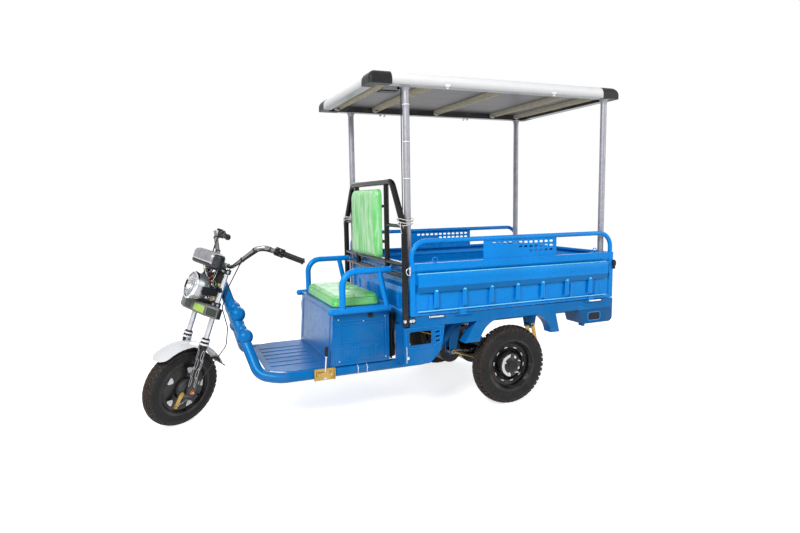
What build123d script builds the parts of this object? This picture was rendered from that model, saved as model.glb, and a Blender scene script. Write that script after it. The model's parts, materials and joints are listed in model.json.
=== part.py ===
"""Electric cargo tricycle: an open cargo bed with drop sides behind a bench seat, under a flat solar canopy.

Millimetres, +X to the rear, +Y to the right, +Z up, origin on the ground under the middle of
the whole vehicle.
The front wheel stands turned to the left, as the vehicle is parked.
"""

from build123d import *
import os
from math import asin, cos, degrees, radians, sin

os.makedirs("parts", exist_ok=True)

LEFT = -1
RIGHT = 1
SIDES = (LEFT, RIGHT)
UP = Vector(0, 0, 1)

# ---- driving dimensions ----
rear_axle_x = 650.0
straight_wheelbase = 1889.0
rear_track = 980.0
box_half = 380.0
bed_half = 549.0

# fits and sheet
seat_gap = 0.3
running_gap = 0.4
pin_gap = 0.3
sheet = 2.5

# tyres and rims
rear_tyre_d = 490.0
rear_tyre_w = 92.0
front_tyre_d = 462.0
front_tyre_w = 78.0
rim_seat_d = 304.0
rim_flange_h = 14.0
rim_wall = 5.0
rim_lip_w = 4.0
rim_well = 16.0
tread_drop = 13.0
bead_share = 0.40
quarter_arc_share = 0.29
shoulder_share = 0.43

# steering
rake = 19.4
steer_at_rest = 34.0
fork_offset = 35.0
head_z = 750.0
head_low = -43.0
head_high = 125.0
head_tube_d = 52.0
stem_d = 30.0
leg_spacing = 158.0
stanchion_d = 31.0
slider_d = 41.0
slider_len = 326.0
crown_t = 26.0
bar_d = 22.2

# frame tubes
main_tube_d = 60.0
rail_y = box_half - 25.0
rail_z = 301.0
riser_y = rear_track / 2 - 150.0
bed_rail_z = 520.0
rise_start_x = 165.0
rise_end_x = 372.0
rail_end_x = 1360.0
cross_tube_d = 32.0
ball_d = 92.0

# cargo bed
bed_front_x = -33.0
bed_rear_x = 1411.0
beam_h = 58.0
beam_w = 40.0
beam_top = 608.0
floor_t = 4.0
gate_t = 28.0
gate_gap = 6.0
gate_top = 909.0
guard_top = 1047.0
guard_d = 28.0
guard_bend = 90.0
hinge_out = 8.0
hinge_drop = 4.0
knuckle_d = 11.0
pin_d = 5.0
moving_knuckle = 44.0
fixed_knuckle = 26.0
knuckle_gap = 1.0

# seat
box_front_x = -450.0
box_slope = 22.0
box_rear_x = -95.0
box_top = 652.0
lid_t = 5.0
seat_cushion_h = 84.0
seat_cushion_half = box_half - 65.0
arm_tube_d = 38.0
arm_low = 650.0
arm_top = 870.0
back_x = -55.0
back_tube_d = 36.0
back_half = bed_half - 14.0
back_low = 560.0
back_top = 1370.0
back_cushion_t = 46.0
back_cushion_half = 243.0

# canopy
roof_front_x = -238.0
roof_rear_x = 1449.0
roof_half = bed_half - 21.0
roof_bottom = 1878.0
roof_top = 1950.0
post_d = 38.0
post_y = bed_half - 61.0
post_front_x = -15.0
post_rear_x = 1355.0


# ---- helpers ----
def finish(piece, name):
    """Label a finished piece and write its STEP file."""
    piece.part.label = name
    export_step(piece.part, f"parts/{name}.step")


def tube(points, diameter, bend=0.0, mode=Mode.ADD):
    """Sweep a round bar along straight runs joined by arcs, in the part being built."""
    with BuildLine() as run:
        FilletPolyline(*points, radius=bend)
    with BuildSketch(Plane(origin=run.line @ 0, z_dir=run.line % 0)) as section:
        Circle(diameter / 2)
    sweep(sections=section.sketch, path=run.line, mode=mode)


def bar(start, end, diameter, mode=Mode.ADD):
    """Add one straight round bar between two points."""
    direction = Vector(*end) - Vector(*start)
    with BuildSketch(Plane(origin=start, z_dir=direction)) as section:
        Circle(diameter / 2)
    extrude(section.sketch, amount=direction.length, mode=mode)


def block(x0, x1, y0, y1, z0, z1, mode=Mode.ADD):
    """Add a box between two corners."""
    with Locations(((x0 + x1) / 2, (y0 + y1) / 2, (z0 + z1) / 2)):
        Box(abs(x1 - x0), abs(y1 - y0), abs(z1 - z0), mode=mode)


def prism(plane, points, thickness, radius=0.0, mode=Mode.ADD):
    """Extrude a closed outline of straight edges, with its corners rounded if a radius is given."""
    with BuildSketch(plane) as outline:
        with BuildLine():
            Polyline(*points, close=True)
        make_face()
        if radius:
            fillet(outline.vertices(), radius)
    extrude(outline.sketch, amount=thickness, mode=mode)


def side_plate(points, y0, y1, radius=0.0, mode=Mode.ADD):
    """Extrude an outline given as (x, z) points from y0 to y1."""
    low, high = min(y0, y1), max(y0, y1)
    prism(Plane.XZ.offset(-high), points, high - low, radius, mode)


def side_form(edges, y0, y1, wall=0.0, mode=Mode.ADD):
    """Extrude an outline of (x, z) lines and arcs from y0 to y1, drawn in by a wall if one is given."""
    low, high = min(y0, y1), max(y0, y1)
    with BuildSketch(Plane.XZ.offset(-high)) as outline:
        with BuildLine():
            for edge in edges:
                if len(edge) == 2:
                    Line(*edge)
                else:
                    ThreePointArc(*edge)
        make_face()
        if wall:
            offset(amount=-wall)
    extrude(outline.sketch, amount=high - low, mode=mode)


def frame_ridge(plane, x, y, length, width, ridge_w, ridge_h, corner):
    """Raise a rounded rectangular ridge on a plane."""
    with BuildSketch(plane) as ridge:
        with Locations((x, y)):
            RectangleRounded(length, width, corner)
            RectangleRounded(length - 2 * ridge_w, width - 2 * ridge_w, corner - ridge_w / 2,
                             mode=Mode.SUBTRACT)
    extrude(ridge.sketch, amount=ridge_h)


# ---- steering frame: z up along the steering axis, x to the rear, y to the right of the turned fork ----
axis_dir = Vector(sin(radians(rake)), 0, cos(radians(rake)))
rearward = Vector(cos(radians(rake)), 0, -sin(radians(rake)))
turned_rearward = rearward * cos(radians(steer_at_rest)) + Vector(0, 1, 0) * sin(radians(steer_at_rest))

# the leaning front tyre touches the ground on the round crown of its tread
front_crown_half = shoulder_share * front_tyre_w
crown_radius = (front_crown_half**2 + tread_drop**2) / (2 * tread_drop)
lean = asin(sin(radians(steer_at_rest)) * sin(radians(rake)))
front_wheel_z = (front_tyre_d / 2 - crown_radius) * cos(lean) + crown_radius
offset_lift = fork_offset * sin(radians(rake)) * cos(radians(steer_at_rest))
fork_drop = (head_z + offset_lift - front_wheel_z) / cos(radians(rake))
head_x = rear_axle_x - straight_wheelbase + fork_drop * sin(radians(rake)) + fork_offset * cos(radians(rake))
steer = Plane(origin=(head_x, 0, head_z), x_dir=turned_rearward, z_dir=axis_dir)
head = Plane(origin=(head_x, 0, head_z), x_dir=rearward, z_dir=axis_dir)


def at(x, y, z):
    """A point given in the steering frame."""
    return steer.from_local_coords(Vector(x, y, z))


def along(x, y, z):
    """A direction given in the steering frame."""
    return at(x, y, z) - at(0, 0, 0)


def turned(x, y, z, x_dir, z_dir):
    """A work plane at a point of the steering frame, with its directions in that frame."""
    return Plane(origin=at(x, y, z), x_dir=along(*x_dir), z_dir=along(*z_dir))


# ---- main frame: two long bent tubes from the head to the rear, with the gourd-shaped balls ----
neck_back = 34.0
neck_out = 20.0
neck_rise = 66.0
throat_back = 83.7
throat_out = 62.0
throat_drop = 100.0
toe_back = 180.7
toe_in = 50.0
toe_rise = 19.0
floor_back = 283.7
throat_bend = 200.0
toe_bend = 95.0
floor_bend = 200.0
riser_bend = 120.0


def main_run(side):
    """Corner points of one main tube, from the head down to the floor and up to the cargo bed."""
    return [
        (head_x + neck_back, side * neck_out, head_z + neck_rise),
        (head_x + throat_back, side * throat_out, head_z - throat_drop),
        (head_x + toe_back, side * (rail_y - toe_in), rail_z + toe_rise),
        (head_x + floor_back, side * rail_y, rail_z),
        (rise_start_x, side * rail_y, rail_z),
        (rise_end_x, side * riser_y, bed_rail_z),
        (rail_end_x, side * riser_y, bed_rail_z),
    ]


ball_upper_back = 103.7
ball_upper_out = 104.0
ball_upper_drop = 120.0
ball_lower_back = 130.7
ball_lower_out = 178.0
ball_lower_drop = 238.0
ball_neck_len = 50.0
ball_neck_d = 56.0
ball_upper = (head_x + ball_upper_back, ball_upper_out, head_z - ball_upper_drop)
ball_lower = (head_x + ball_lower_back, ball_lower_out, head_z - ball_lower_drop)

axle_tube_d = 56.0
rear_wheel_z = rear_tyre_d / 2
saddle_h = 6.0
leaf_t = 8.0
leaf_count = 3
spring_camber = 1600.0
spring_w = 50.0
front_reach = 325.0
rear_reach = 290.0
cheek_t = 5.0
cheek_gap = 1.0
eye_d = 32.0
eye_bolt_d = 14.0
shackle_lean = 30.0
shackle_z = 440.0
hanger_low = 18.0
hanger_back = 60.0
hanger_drop = 20.0
hanger_front_drop = 65.0
saddle_z = rear_wheel_z + axle_tube_d / 2 + saddle_h
camber_z = saddle_z + leaf_count * leaf_t + spring_camber
cheek_out = spring_w / 2 + cheek_gap + cheek_t


def eye_point(reach):
    """The (x, z) centre of a spring eye, a given way from the axle, on the middle of the main leaf."""
    return (rear_axle_x + reach, camber_z - ((spring_camber + leaf_t / 2) ** 2 - reach**2) ** 0.5)


spring_front = eye_point(-front_reach)
spring_rear = eye_point(rear_reach)
shackle_top = (spring_rear[0] - shackle_lean, shackle_z)

front_hanger = [
    (spring_front[0] - hanger_low, bed_rail_z - hanger_front_drop),
    (spring_front[0] + hanger_back, bed_rail_z - hanger_drop),
    (spring_front[0] + hanger_low, spring_front[1] - hanger_low),
    (spring_front[0] - hanger_low, spring_front[1] - hanger_low),
]
rear_hanger = [
    (shackle_top[0] - 2 * hanger_low, bed_rail_z),
    (shackle_top[0] + 2 * hanger_low, bed_rail_z),
    (shackle_top[0] + hanger_low, shackle_top[1] - hanger_low),
    (shackle_top[0] - hanger_low, shackle_top[1] - hanger_low),
]
cross_front_back = 398.7
cross_middle_x = -260.0
cross_rear_x = 100.0
bed_cross_front_x = 430.0
bed_cross_middle_x = 880.0
bed_cross_rear_x = 1330.0
rod_out = 16.0
rod_eye_w = 14.0

with BuildPart() as frame:
    with BuildSketch(head.offset(head_low)):
        Circle(head_tube_d / 2)
    extrude(amount=head_high - head_low)
    for side in SIDES:
        tube(main_run(side), main_tube_d, bend=(throat_bend, toe_bend, floor_bend, riser_bend, riser_bend))
        for x, y, z in (ball_upper, ball_lower):
            with Locations((x, side * y, z)):
                Sphere(ball_d / 2)
            climb = (Vector(*main_run(side)[1]) - Vector(*main_run(side)[2])).normalized()
            with Locations(Vector(x, side * y, z) + climb * ball_neck_len):
                Sphere(ball_neck_d / 2)
        for end, hanger in ((spring_front, front_hanger), (shackle_top, rear_hanger)):
            for wall in SIDES:
                inner = side * riser_y + wall * (spring_w / 2 + cheek_gap)
                side_plate(hanger, inner, inner + wall * cheek_t)
            bar((end[0], side * (riser_y - cheek_out), end[1]),
                (end[0], side * (riser_y + cheek_out), end[1]),
                eye_bolt_d)
        bar((spring_front[0], side * riser_y, spring_front[1]),
            (spring_front[0], side * (riser_y + cheek_out + rod_out), spring_front[1]), eye_bolt_d)
    for x in (head_x + cross_front_back, cross_middle_x, cross_rear_x):
        bar((x, -rail_y, rail_z), (x, rail_y, rail_z), cross_tube_d)
    for x in (bed_cross_front_x, bed_cross_middle_x, bed_cross_rear_x):
        bar((x, -riser_y, bed_rail_z), (x, riser_y, bed_rail_z), cross_tube_d)
    with BuildSketch(head.offset(head_low)):
        Circle(stem_d / 2 + running_gap)
    extrude(amount=head_high - head_low, mode=Mode.SUBTRACT)
finish(frame, "frame")

# ---- floor pan with a raised toe board and pressed ribs ----
pan_z = rail_z + main_tube_d / 2
pan_t = 3.0
pan_lap = 2.0
pan_half = rail_y + pan_lap
pan_front_x = head_x + 223.7
pan_nose_half = rail_y - 100.0
pan_cheek_back = 43.0
pan_cheek_in = 43.0
pan_side_back = 115.0
toe_run = 62.0
toe_climb = 84.0
toe_len = 110.0
toe_top_half = pan_nose_half - 95.0
pan_rib_w = 26.0
pan_rib_h = 3.0
pan_rib_count = 6
pan_rib_pitch = 84.0
pan_rib_margin = 40.0
with BuildPart() as floor_pan:
    corners = [
        (pan_front_x, pan_nose_half),
        (pan_front_x + pan_cheek_back, pan_half - pan_cheek_in),
        (pan_front_x + pan_side_back, pan_half),
        (box_rear_x, pan_half),
    ]
    prism(Plane.XY.offset(pan_z), corners + [(x, -y) for x, y in reversed(corners)], pan_t)
    toe = Plane(origin=(pan_front_x, 0, pan_z), x_dir=(0, 1, 0), z_dir=(toe_climb, 0, toe_run))
    prism(toe, [(-pan_nose_half, 0), (pan_nose_half, 0), (toe_top_half, -toe_len),
                (-toe_top_half, -toe_len)], pan_t)
    for i in range(pan_rib_count):
        y = pan_rib_pitch * (i - (pan_rib_count - 1) / 2)
        block(pan_front_x + pan_rib_margin, box_front_x - pan_rib_margin, y - pan_rib_w / 2,
              y + pan_rib_w / 2, pan_z + pan_t, pan_z + pan_t + pan_rib_h)
finish(floor_pan, "floor_pan")

# ---- seat box: pressed steel, open at the top, with the battery inside ----
box_top_front_x = box_front_x + box_slope
box_floor = pan_z + pan_t
box_height = box_top - box_floor
lid_z = box_top + seat_gap
lid_barrel_d = 9.0
lid_pin_d = 4.0
lid_knuckle = 40.0
lid_fixed_knuckle = 22.0
lid_hinge_y = box_half - 150.0
lid_hinge_back = 4.0
lid_ear_h = 40.0
lid_hinge_x = box_rear_x + lid_hinge_back
lid_hinge_z = lid_z + lid_t / 2
ridge_w = 8.0
ridge_h = 3.0
panel_margin_x = 34.0
panel_low = 22.0
panel_top = 60.0
panel_split = 108.0
small_rib_w = 30.0
small_rib_h = 66.0
small_rib_pitch = 62.0
small_rib_mid_x = -232.0
front_panel_half = box_half - 50.0
with BuildPart() as seat_box:
    outline = [(box_front_x, box_floor), (box_rear_x, box_floor), (box_rear_x, box_top),
               (box_top_front_x, box_top)]
    side_plate(outline, -box_half, box_half)
    inner = [(box_front_x + sheet, box_floor + sheet), (box_rear_x - sheet, box_floor + sheet),
             (box_rear_x - sheet, box_top + sheet), (box_top_front_x + sheet, box_top + sheet)]
    side_plate(inner, -box_half + sheet, box_half - sheet, mode=Mode.SUBTRACT)
    panel_mid_x = (box_top_front_x + box_rear_x) / 2
    panel_len = box_rear_x - box_top_front_x - 2 * panel_margin_x
    panel_high = box_height - panel_low - panel_top
    for side in SIDES:
        face = Plane(origin=(0, side * box_half, box_floor), x_dir=(1, 0, 0), z_dir=(0, side, 0))
        flip = -side
        frame_ridge(face, panel_mid_x, flip * (panel_low + panel_high / 2), panel_len, panel_high,
                    ridge_w, ridge_h, ridge_w)
        with BuildSketch(face) as pressings:
            with Locations((panel_mid_x, flip * (panel_low + panel_split))):
                Rectangle(panel_len - ridge_w, ridge_w)
            for i in SIDES + (0,):
                with Locations((small_rib_mid_x + i * small_rib_pitch,
                                flip * (panel_low + panel_split / 2))):
                    RectangleRounded(small_rib_w, small_rib_h, ridge_w)
        extrude(pressings.sketch, amount=ridge_h)
    front_face = Plane(origin=(box_front_x, 0, box_floor), x_dir=(0, 1, 0),
                       z_dir=(-box_height, 0, box_slope))
    frame_ridge(front_face, 0, -box_height / 2, 2 * front_panel_half, box_height - 2 * panel_low, ridge_w,
                ridge_h, ridge_w)
    for y in (-lid_hinge_y, lid_hinge_y):
        for end in SIDES:
            near = y + end * (lid_knuckle / 2 + knuckle_gap)
            far = near + end * lid_fixed_knuckle
            bar((lid_hinge_x, near, lid_hinge_z), (lid_hinge_x, far, lid_hinge_z), lid_barrel_d)
            block(box_rear_x - knuckle_gap, lid_hinge_x, near, far, box_top - lid_ear_h,
                  box_top - knuckle_gap)
        reach = lid_knuckle / 2 + knuckle_gap + lid_fixed_knuckle
        bar((lid_hinge_x, y - reach, lid_hinge_z), (lid_hinge_x, y + reach, lid_hinge_z), lid_pin_d)
finish(seat_box, "seat_box")

battery_h = 175.0
battery_clear = 25.0
battery_half = box_half - 50.0
with BuildPart() as battery:
    block(box_front_x + battery_clear, box_rear_x - battery_clear, -battery_half, battery_half,
          box_floor + sheet, box_floor + sheet + battery_h)
finish(battery, "battery")

# ---- seat lid with its cushion ----
lid_nose = 6.0
lid_in = 8.0
lid_rear_in = 2.0
cushion_front_x = -412.0
cushion_rear_x = box_rear_x - 23.0
cushion_corner = 35.0
cushion_crown = 22.0
with BuildPart() as seat_lid:
    block(box_top_front_x - lid_nose, box_rear_x - lid_rear_in, -box_half + lid_in, box_half - lid_in,
          lid_z, lid_z + lid_t)
    for y in (-lid_hinge_y, lid_hinge_y):
        half = lid_knuckle / 2
        block(box_rear_x - lid_rear_in - knuckle_gap, lid_hinge_x, y - half, y + half, lid_z, lid_z + lid_t)
        bar((lid_hinge_x, y - half, lid_hinge_z), (lid_hinge_x, y + half, lid_hinge_z), lid_barrel_d)
        bar((lid_hinge_x, y - half, lid_hinge_z), (lid_hinge_x, y + half, lid_hinge_z),
            lid_pin_d + 2 * pin_gap, mode=Mode.SUBTRACT)
finish(seat_lid, "seat_lid")
cushion_z = lid_z + lid_t + seat_gap
with BuildPart() as seat_cushion:
    block(cushion_front_x, cushion_rear_x, -seat_cushion_half, seat_cushion_half, cushion_z,
          cushion_z + seat_cushion_h)
    fillet(seat_cushion.edges().filter_by(Axis.Z), cushion_corner)
    fillet(seat_cushion.faces().sort_by(Axis.Z)[-1].edges(), cushion_crown)
finish(seat_cushion, "seat_cushion")

# ---- armrests ----
arm_y = box_half + arm_tube_d / 2 + seat_gap
arm_front_x = -445.0
arm_rear_x = -92.0
arm_post_x = -378.0
arm_tip_x = -88.0
arm_bend = 85.0
arm_strut_top_x = -158.0
arm_strut_foot_x = -112.0
arm_loop_d = arm_tube_d - 2.0
arm_strut_d = arm_tube_d - 6.0
with BuildPart() as armrests:
    for side in SIDES:
        y = side * arm_y
        bar((arm_front_x, y, arm_low), (arm_rear_x, y, arm_low), arm_tube_d)
        with Locations((arm_front_x, y, arm_low)):
            Sphere(arm_tube_d / 2)
        tube([(arm_post_x, y, arm_low), (arm_post_x, y, arm_top), (arm_tip_x, y, arm_top)], arm_loop_d,
             bend=arm_bend)
        bar((arm_strut_top_x, y, arm_top), (arm_strut_foot_x, y, arm_low), arm_strut_d)
finish(armrests, "armrests")

# ---- backrest ----
shoulder_z = back_top - 265.0
shoulder_in = back_half - 175.0
back_bend = 90.0
top_bend = 70.0
back_bar_d = 26.0
inner_post_d = 31.0
cushion_bar_d = 21.0
side_bar_d = 22.0
inner_post_y = back_cushion_half + 27.0
low_bar_z = back_low + 282.0
high_bar_z = back_low + 345.0
side_bar_z = back_top - 250.0
cushion_bar_low_z = back_low + 460.0
cushion_bar_high_z = back_top - 140.0
cushion_bar_in = (inner_post_d - cushion_bar_d) / 2
bracket_low = beam_top - 33.0
bracket_high = beam_top - 3.0
bracket_front = 18.0
bracket_rear = 52.0
bracket_t = 4.0
cushion_low = high_bar_z + 7.0
cushion_high = back_top - 34.0
back_corner = 40.0
back_crown = 14.0
with BuildPart() as backrest_frame:
    tube([(back_x, -back_half, back_low), (back_x, -back_half, shoulder_z), (back_x, -shoulder_in, back_top),
          (back_x, shoulder_in, back_top), (back_x, back_half, shoulder_z), (back_x, back_half, back_low)],
         back_tube_d, bend=(back_bend, top_bend, top_bend, back_bend))
    for z in (low_bar_z, high_bar_z):
        bar((back_x, -back_half, z), (back_x, back_half, z), back_bar_d)
    for z in (cushion_bar_low_z, cushion_bar_high_z):
        bar((back_x - cushion_bar_in, -inner_post_y, z), (back_x - cushion_bar_in, inner_post_y, z),
            cushion_bar_d)
    for side in SIDES:
        bar((back_x, side * inner_post_y, low_bar_z), (back_x, side * inner_post_y, back_top), inner_post_d)
        bar((back_x, side * inner_post_y, side_bar_z), (back_x, side * back_half, side_bar_z), side_bar_d)
        outer = side * (bed_half + seat_gap)
        block(back_x - bracket_front, back_x + bracket_rear, outer, outer + side * bracket_t,
              bracket_low, bracket_high)
        block(back_x - bracket_front, back_x + back_tube_d / 2, side * back_half, outer + side * bracket_t,
              bracket_low, bracket_high)
finish(backrest_frame, "backrest_frame")
with BuildPart() as backrest_cushion:
    back_face = back_x - inner_post_d / 2 - seat_gap
    block(back_face - back_cushion_t, back_face, -back_cushion_half, back_cushion_half, cushion_low,
          cushion_high)
    fillet(backrest_cushion.edges().filter_by(Axis.X), back_corner)
    fillet(backrest_cushion.faces().sort_by(Axis.X)[0].edges(), back_crown)
finish(backrest_cushion, "backrest_cushion")

# ---- cargo bed ----
beam_low = beam_top - beam_h
hinge_z = beam_top - hinge_drop
hinge_y = bed_half + hinge_out
tail_hinge_x = bed_rear_x + hinge_out
gate_low = beam_top + gate_gap
floor_half = bed_half - gate_t - gate_gap
side_hinge_front_x = 300.0
side_hinge_rear_x = 1230.0
side_hinges = (side_hinge_front_x, side_hinge_rear_x)
tail_hinge_y = floor_half * 0.64
tail_hinges = (-tail_hinge_y, tail_hinge_y)
bed_cross_w = 40.0
bed_cross_xs = (side_hinge_front_x, rear_axle_x, rear_axle_x + 350.0)
tongue_t = 5.0
tongue_lap = 2.0
strap_t = 4.0
strap_h = 25.0


def fixed_hinge(axis_point, direction, root):
    """Fixed knuckles, their tongues and the pin of one hinge; root is where a tongue meets the beam."""
    reach = moving_knuckle / 2 + knuckle_gap + fixed_knuckle
    for end in SIDES:
        near = axis_point + direction * end * (moving_knuckle / 2 + knuckle_gap)
        far = near + direction * end * fixed_knuckle
        bar(near, far, knuckle_d)
        tongue = far + root
        block(near.X, tongue.X, near.Y, tongue.Y, near.Z, near.Z - tongue_t)
    bar(axis_point - direction * reach, axis_point + direction * reach, pin_d)


def moving_hinge(axis_point, direction):
    """Bore the middle knuckle of one hinge for its pin, after its strap has been added."""
    half = moving_knuckle / 2
    bar(axis_point - direction * half, axis_point + direction * half, knuckle_d)
    bar(axis_point - direction * half, axis_point + direction * half, pin_d + 2 * pin_gap,
        mode=Mode.SUBTRACT)


ALONG_X = Vector(1, 0, 0)
ALONG_Y = Vector(0, 1, 0)

with BuildPart() as bed_frame:
    block(bed_front_x, bed_rear_x, -bed_half, bed_half, beam_low, beam_top)
    block(bed_front_x + beam_w, bed_rear_x - beam_w, -bed_half + beam_w, bed_half - beam_w,
          beam_low, beam_top, mode=Mode.SUBTRACT)
    for x in bed_cross_xs:
        block(x - bed_cross_w / 2, x + bed_cross_w / 2, -bed_half + sheet, bed_half - sheet, beam_low,
              beam_top)
    for side in SIDES:
        for x in side_hinges:
            fixed_hinge(Vector(x, side * hinge_y, hinge_z), ALONG_X,
                        Vector(0, -side * (hinge_out + tongue_lap), 0))
    for y in tail_hinges:
        fixed_hinge(Vector(tail_hinge_x, y, hinge_z), ALONG_Y, Vector(-hinge_out - tongue_lap, 0, 0))
finish(bed_frame, "bed_frame")

deck_t = 2.0
deck_clear = 4.0
deck_half = post_y - post_d / 2 - deck_clear
front_wall_t = 26.0
deck_front_x = bed_front_x + front_wall_t + deck_clear
deck_rear_x = bed_rear_x - gate_t - gate_gap - deck_clear
with BuildPart() as bed_floor:
    block(bed_front_x, bed_rear_x - gate_t - gate_gap, -floor_half, floor_half, beam_top, beam_top + floor_t)
    block(deck_front_x, deck_rear_x, -deck_half, deck_half, beam_top + floor_t, beam_top + floor_t + deck_t)
finish(bed_floor, "bed_floor")

# ---- pressed walls: one stepped sheet, seen in section, with a border and tapered ribs ----
wall_heights = (0.0, 12.0, 22.0, 118.0, 150.0, 178.0, 226.0, 238.0, 258.0)
wall_depths = (0.0, 0.0, 7.0, 7.0, 17.0, 4.0, 4.0, 9.0, 0.0)
wall_border = 30.0
wall_foot_h = 12.0
wall_head_h = 14.0
rib_count = 7
rib_foot_w = 34.0
rib_tip_w = 20.0
rib_deep = 9.0
rib_low = 22.0
rib_high = 112.0


def gate_wall(length, height, ribs):
    """One pressed wall along X from 0, outer face on y = 0, inner side towards +Y, standing on z = 0."""
    outer = list(zip(wall_depths, wall_heights)) + [(0, height)]
    prism(Plane.YZ, outer + [(depth + sheet, z) for depth, z in reversed(outer)], length)
    for x0, x1 in ((0, wall_border), (length - wall_border, length)):
        block(x0, x1, 0, gate_t, 0, height)
    block(0, length, 0, gate_t, 0, wall_foot_h)
    block(0, length, 0, gate_t, height - wall_head_h, height)
    pitch = (length - 2 * wall_border) / ribs
    for i in range(ribs):
        middle = (wall_border + pitch * (i + 0.5), rib_deep / 2)
        with BuildSketch(Plane.XY.offset(rib_low)) as foot:
            with Locations(middle):
                Rectangle(rib_foot_w, rib_deep)
        with BuildSketch(Plane.XY.offset(rib_high)) as tip:
            with Locations(middle):
                Rectangle(rib_tip_w, rib_deep)
        loft(sections=[foot.sketch, tip.sketch])


plate_x0 = 442.0
plate_x1 = 962.0
plate_in = 10.0
plate_lap = 5.0
side_rows = (12, 7, 5)
slot_len = 25.0
slot_h = 13.0
slot_pitch = 37.0
row_pitch = 27.0
slot_edge = 40.0
slot_drop = 32.0
gate_inset = 3.0
catch_len = 32.0
catch_out = 7.0
catch_h = 40.0
catch_drop = 3.0
wall_height = gate_top - gate_low

with BuildPart(mode=Mode.PRIVATE) as side_wall:
    length = bed_rear_x - bed_front_x - 2 * gate_inset
    gate_wall(length, wall_height, rib_count)
    rail_top = guard_top - gate_low - guard_d / 2
    first = (guard_d + gate_inset) / 2
    foot = wall_height - plate_lap
    tube([(first, gate_t / 2, foot), (first, gate_t / 2, rail_top), (length - first, gate_t / 2, rail_top),
          (length - first, gate_t / 2, foot)], guard_d, bend=guard_bend)
    plate_end = plate_x1 - bed_front_x
    block(plate_x0 - bed_front_x, plate_end, plate_in, plate_in + sheet, foot, rail_top)
    for row, count in enumerate(side_rows):
        for i in range(count):
            with BuildSketch(Plane.XZ.offset(-gate_t)) as slot:
                with Locations((plate_end - slot_edge - i * slot_pitch,
                                rail_top - slot_drop - row * row_pitch)):
                    SlotOverall(slot_len, slot_h)
            extrude(slot.sketch, amount=gate_t, mode=Mode.SUBTRACT)

for side, word in ((LEFT, "left"), (RIGHT, "right")):
    placed = Pos(bed_front_x + gate_inset, -bed_half, gate_low) * side_wall.part
    if side == RIGHT:
        placed = placed.mirror(Plane.XZ)
    with BuildPart() as side_gate:
        add(placed)
        for x in side_hinges:
            half = moving_knuckle / 2
            strap_out = side * (bed_half + strap_t + knuckle_gap)
            block(x - half, x + half, side * (bed_half + knuckle_gap), strap_out, hinge_z,
                  gate_low + strap_h)
            block(x - half, x + half, side * (bed_half - tongue_lap), strap_out, gate_low + knuckle_gap,
                  gate_low + strap_h)
            moving_hinge(Vector(x, side * hinge_y, hinge_z), ALONG_X)
        block(bed_front_x + gate_inset, bed_front_x + catch_len, side * (bed_half - tongue_lap),
              side * (bed_half + catch_out), gate_top - catch_drop - catch_h, gate_top - catch_drop)
    finish(side_gate, f"side_gate_{word}")

# ---- tailgate and front wall: the same pressed wall across the bed ----
cross_rib_count = 5
latch_out = 26.0
latch_w = 60.0
latch_in = 15.0
latch_drop = 59.0
latch_h = 50.0
latch_round = 12.0
with BuildPart(mode=Mode.PRIVATE) as cross_wall:
    gate_wall(2 * floor_half, wall_height, cross_rib_count)
with BuildPart() as tailgate:
    add(Pos(bed_rear_x, -floor_half, gate_low) * Rot(0, 0, 90) * cross_wall.part)
    for y in tail_hinges:
        half = moving_knuckle / 2
        strap_out = bed_rear_x + strap_t + knuckle_gap
        block(bed_rear_x + knuckle_gap, strap_out, y - half, y + half, hinge_z, gate_low + strap_h)
        block(bed_rear_x - tongue_lap, strap_out, y - half, y + half, gate_low + knuckle_gap,
              gate_low + strap_h)
        moving_hinge(Vector(tail_hinge_x, y, hinge_z), ALONG_Y)
    for side in SIDES:
        latch_y = side * (floor_half - latch_in - latch_w / 2)
        side_plate([(bed_rear_x - tongue_lap, gate_top - latch_drop),
                    (bed_rear_x + latch_out, gate_top - latch_drop),
                    (bed_rear_x + latch_out, gate_top - latch_drop - latch_h),
                    (bed_rear_x - tongue_lap, gate_top - latch_drop - latch_h)],
                   latch_y - latch_w / 2, latch_y + latch_w / 2, latch_round)
finish(tailgate, "tailgate")
front_half = post_y - post_d / 2 - tongue_lap
with BuildPart() as front_wall:
    gate_wall(2 * front_half, gate_top - beam_top - floor_t, cross_rib_count)
front_wall.part = Pos(bed_front_x, front_half, beam_top + floor_t) * Rot(0, 0, -90) * front_wall.part
finish(front_wall, "front_wall")

# ---- wheel arch brackets under the side beams: folded sheet, open inwards ----
bracket_w = 70.0
arch_low = 425.0
arch_drop = beam_low - arch_low
arch_front_share = 0.40
arch_rear_share = 0.32
arch_wall = 3.0
bed_in = 1.0
front_arch = [
    ((395.0, beam_low), (540.0, beam_low)),
    ((540.0, beam_low), (452.0, beam_low - arch_drop * arch_front_share), (415.0, arch_low)),
    ((415.0, arch_low), (315.0, arch_low)),
    ((315.0, arch_low), (395.0, beam_low)),
]
rear_arch = [
    ((800.0, beam_low), (960.0, beam_low)),
    ((960.0, beam_low), (990.0, arch_low + bed_in)),
    ((990.0, arch_low + bed_in), (925.0, arch_low + bed_in)),
    ((925.0, arch_low + bed_in), (884.0, beam_low - arch_drop * arch_rear_share), (800.0, beam_low)),
]
with BuildPart() as arch_brackets:
    for side in SIDES:
        outer = side * (bed_half - bed_in)
        for form in (front_arch, rear_arch):
            side_form(form, outer, outer - side * bracket_w)
            side_form(form, outer - side * arch_wall, outer - side * (bracket_w + bed_in), wall=arch_wall,
                      mode=Mode.SUBTRACT)
finish(arch_brackets, "arch_brackets")

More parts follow.
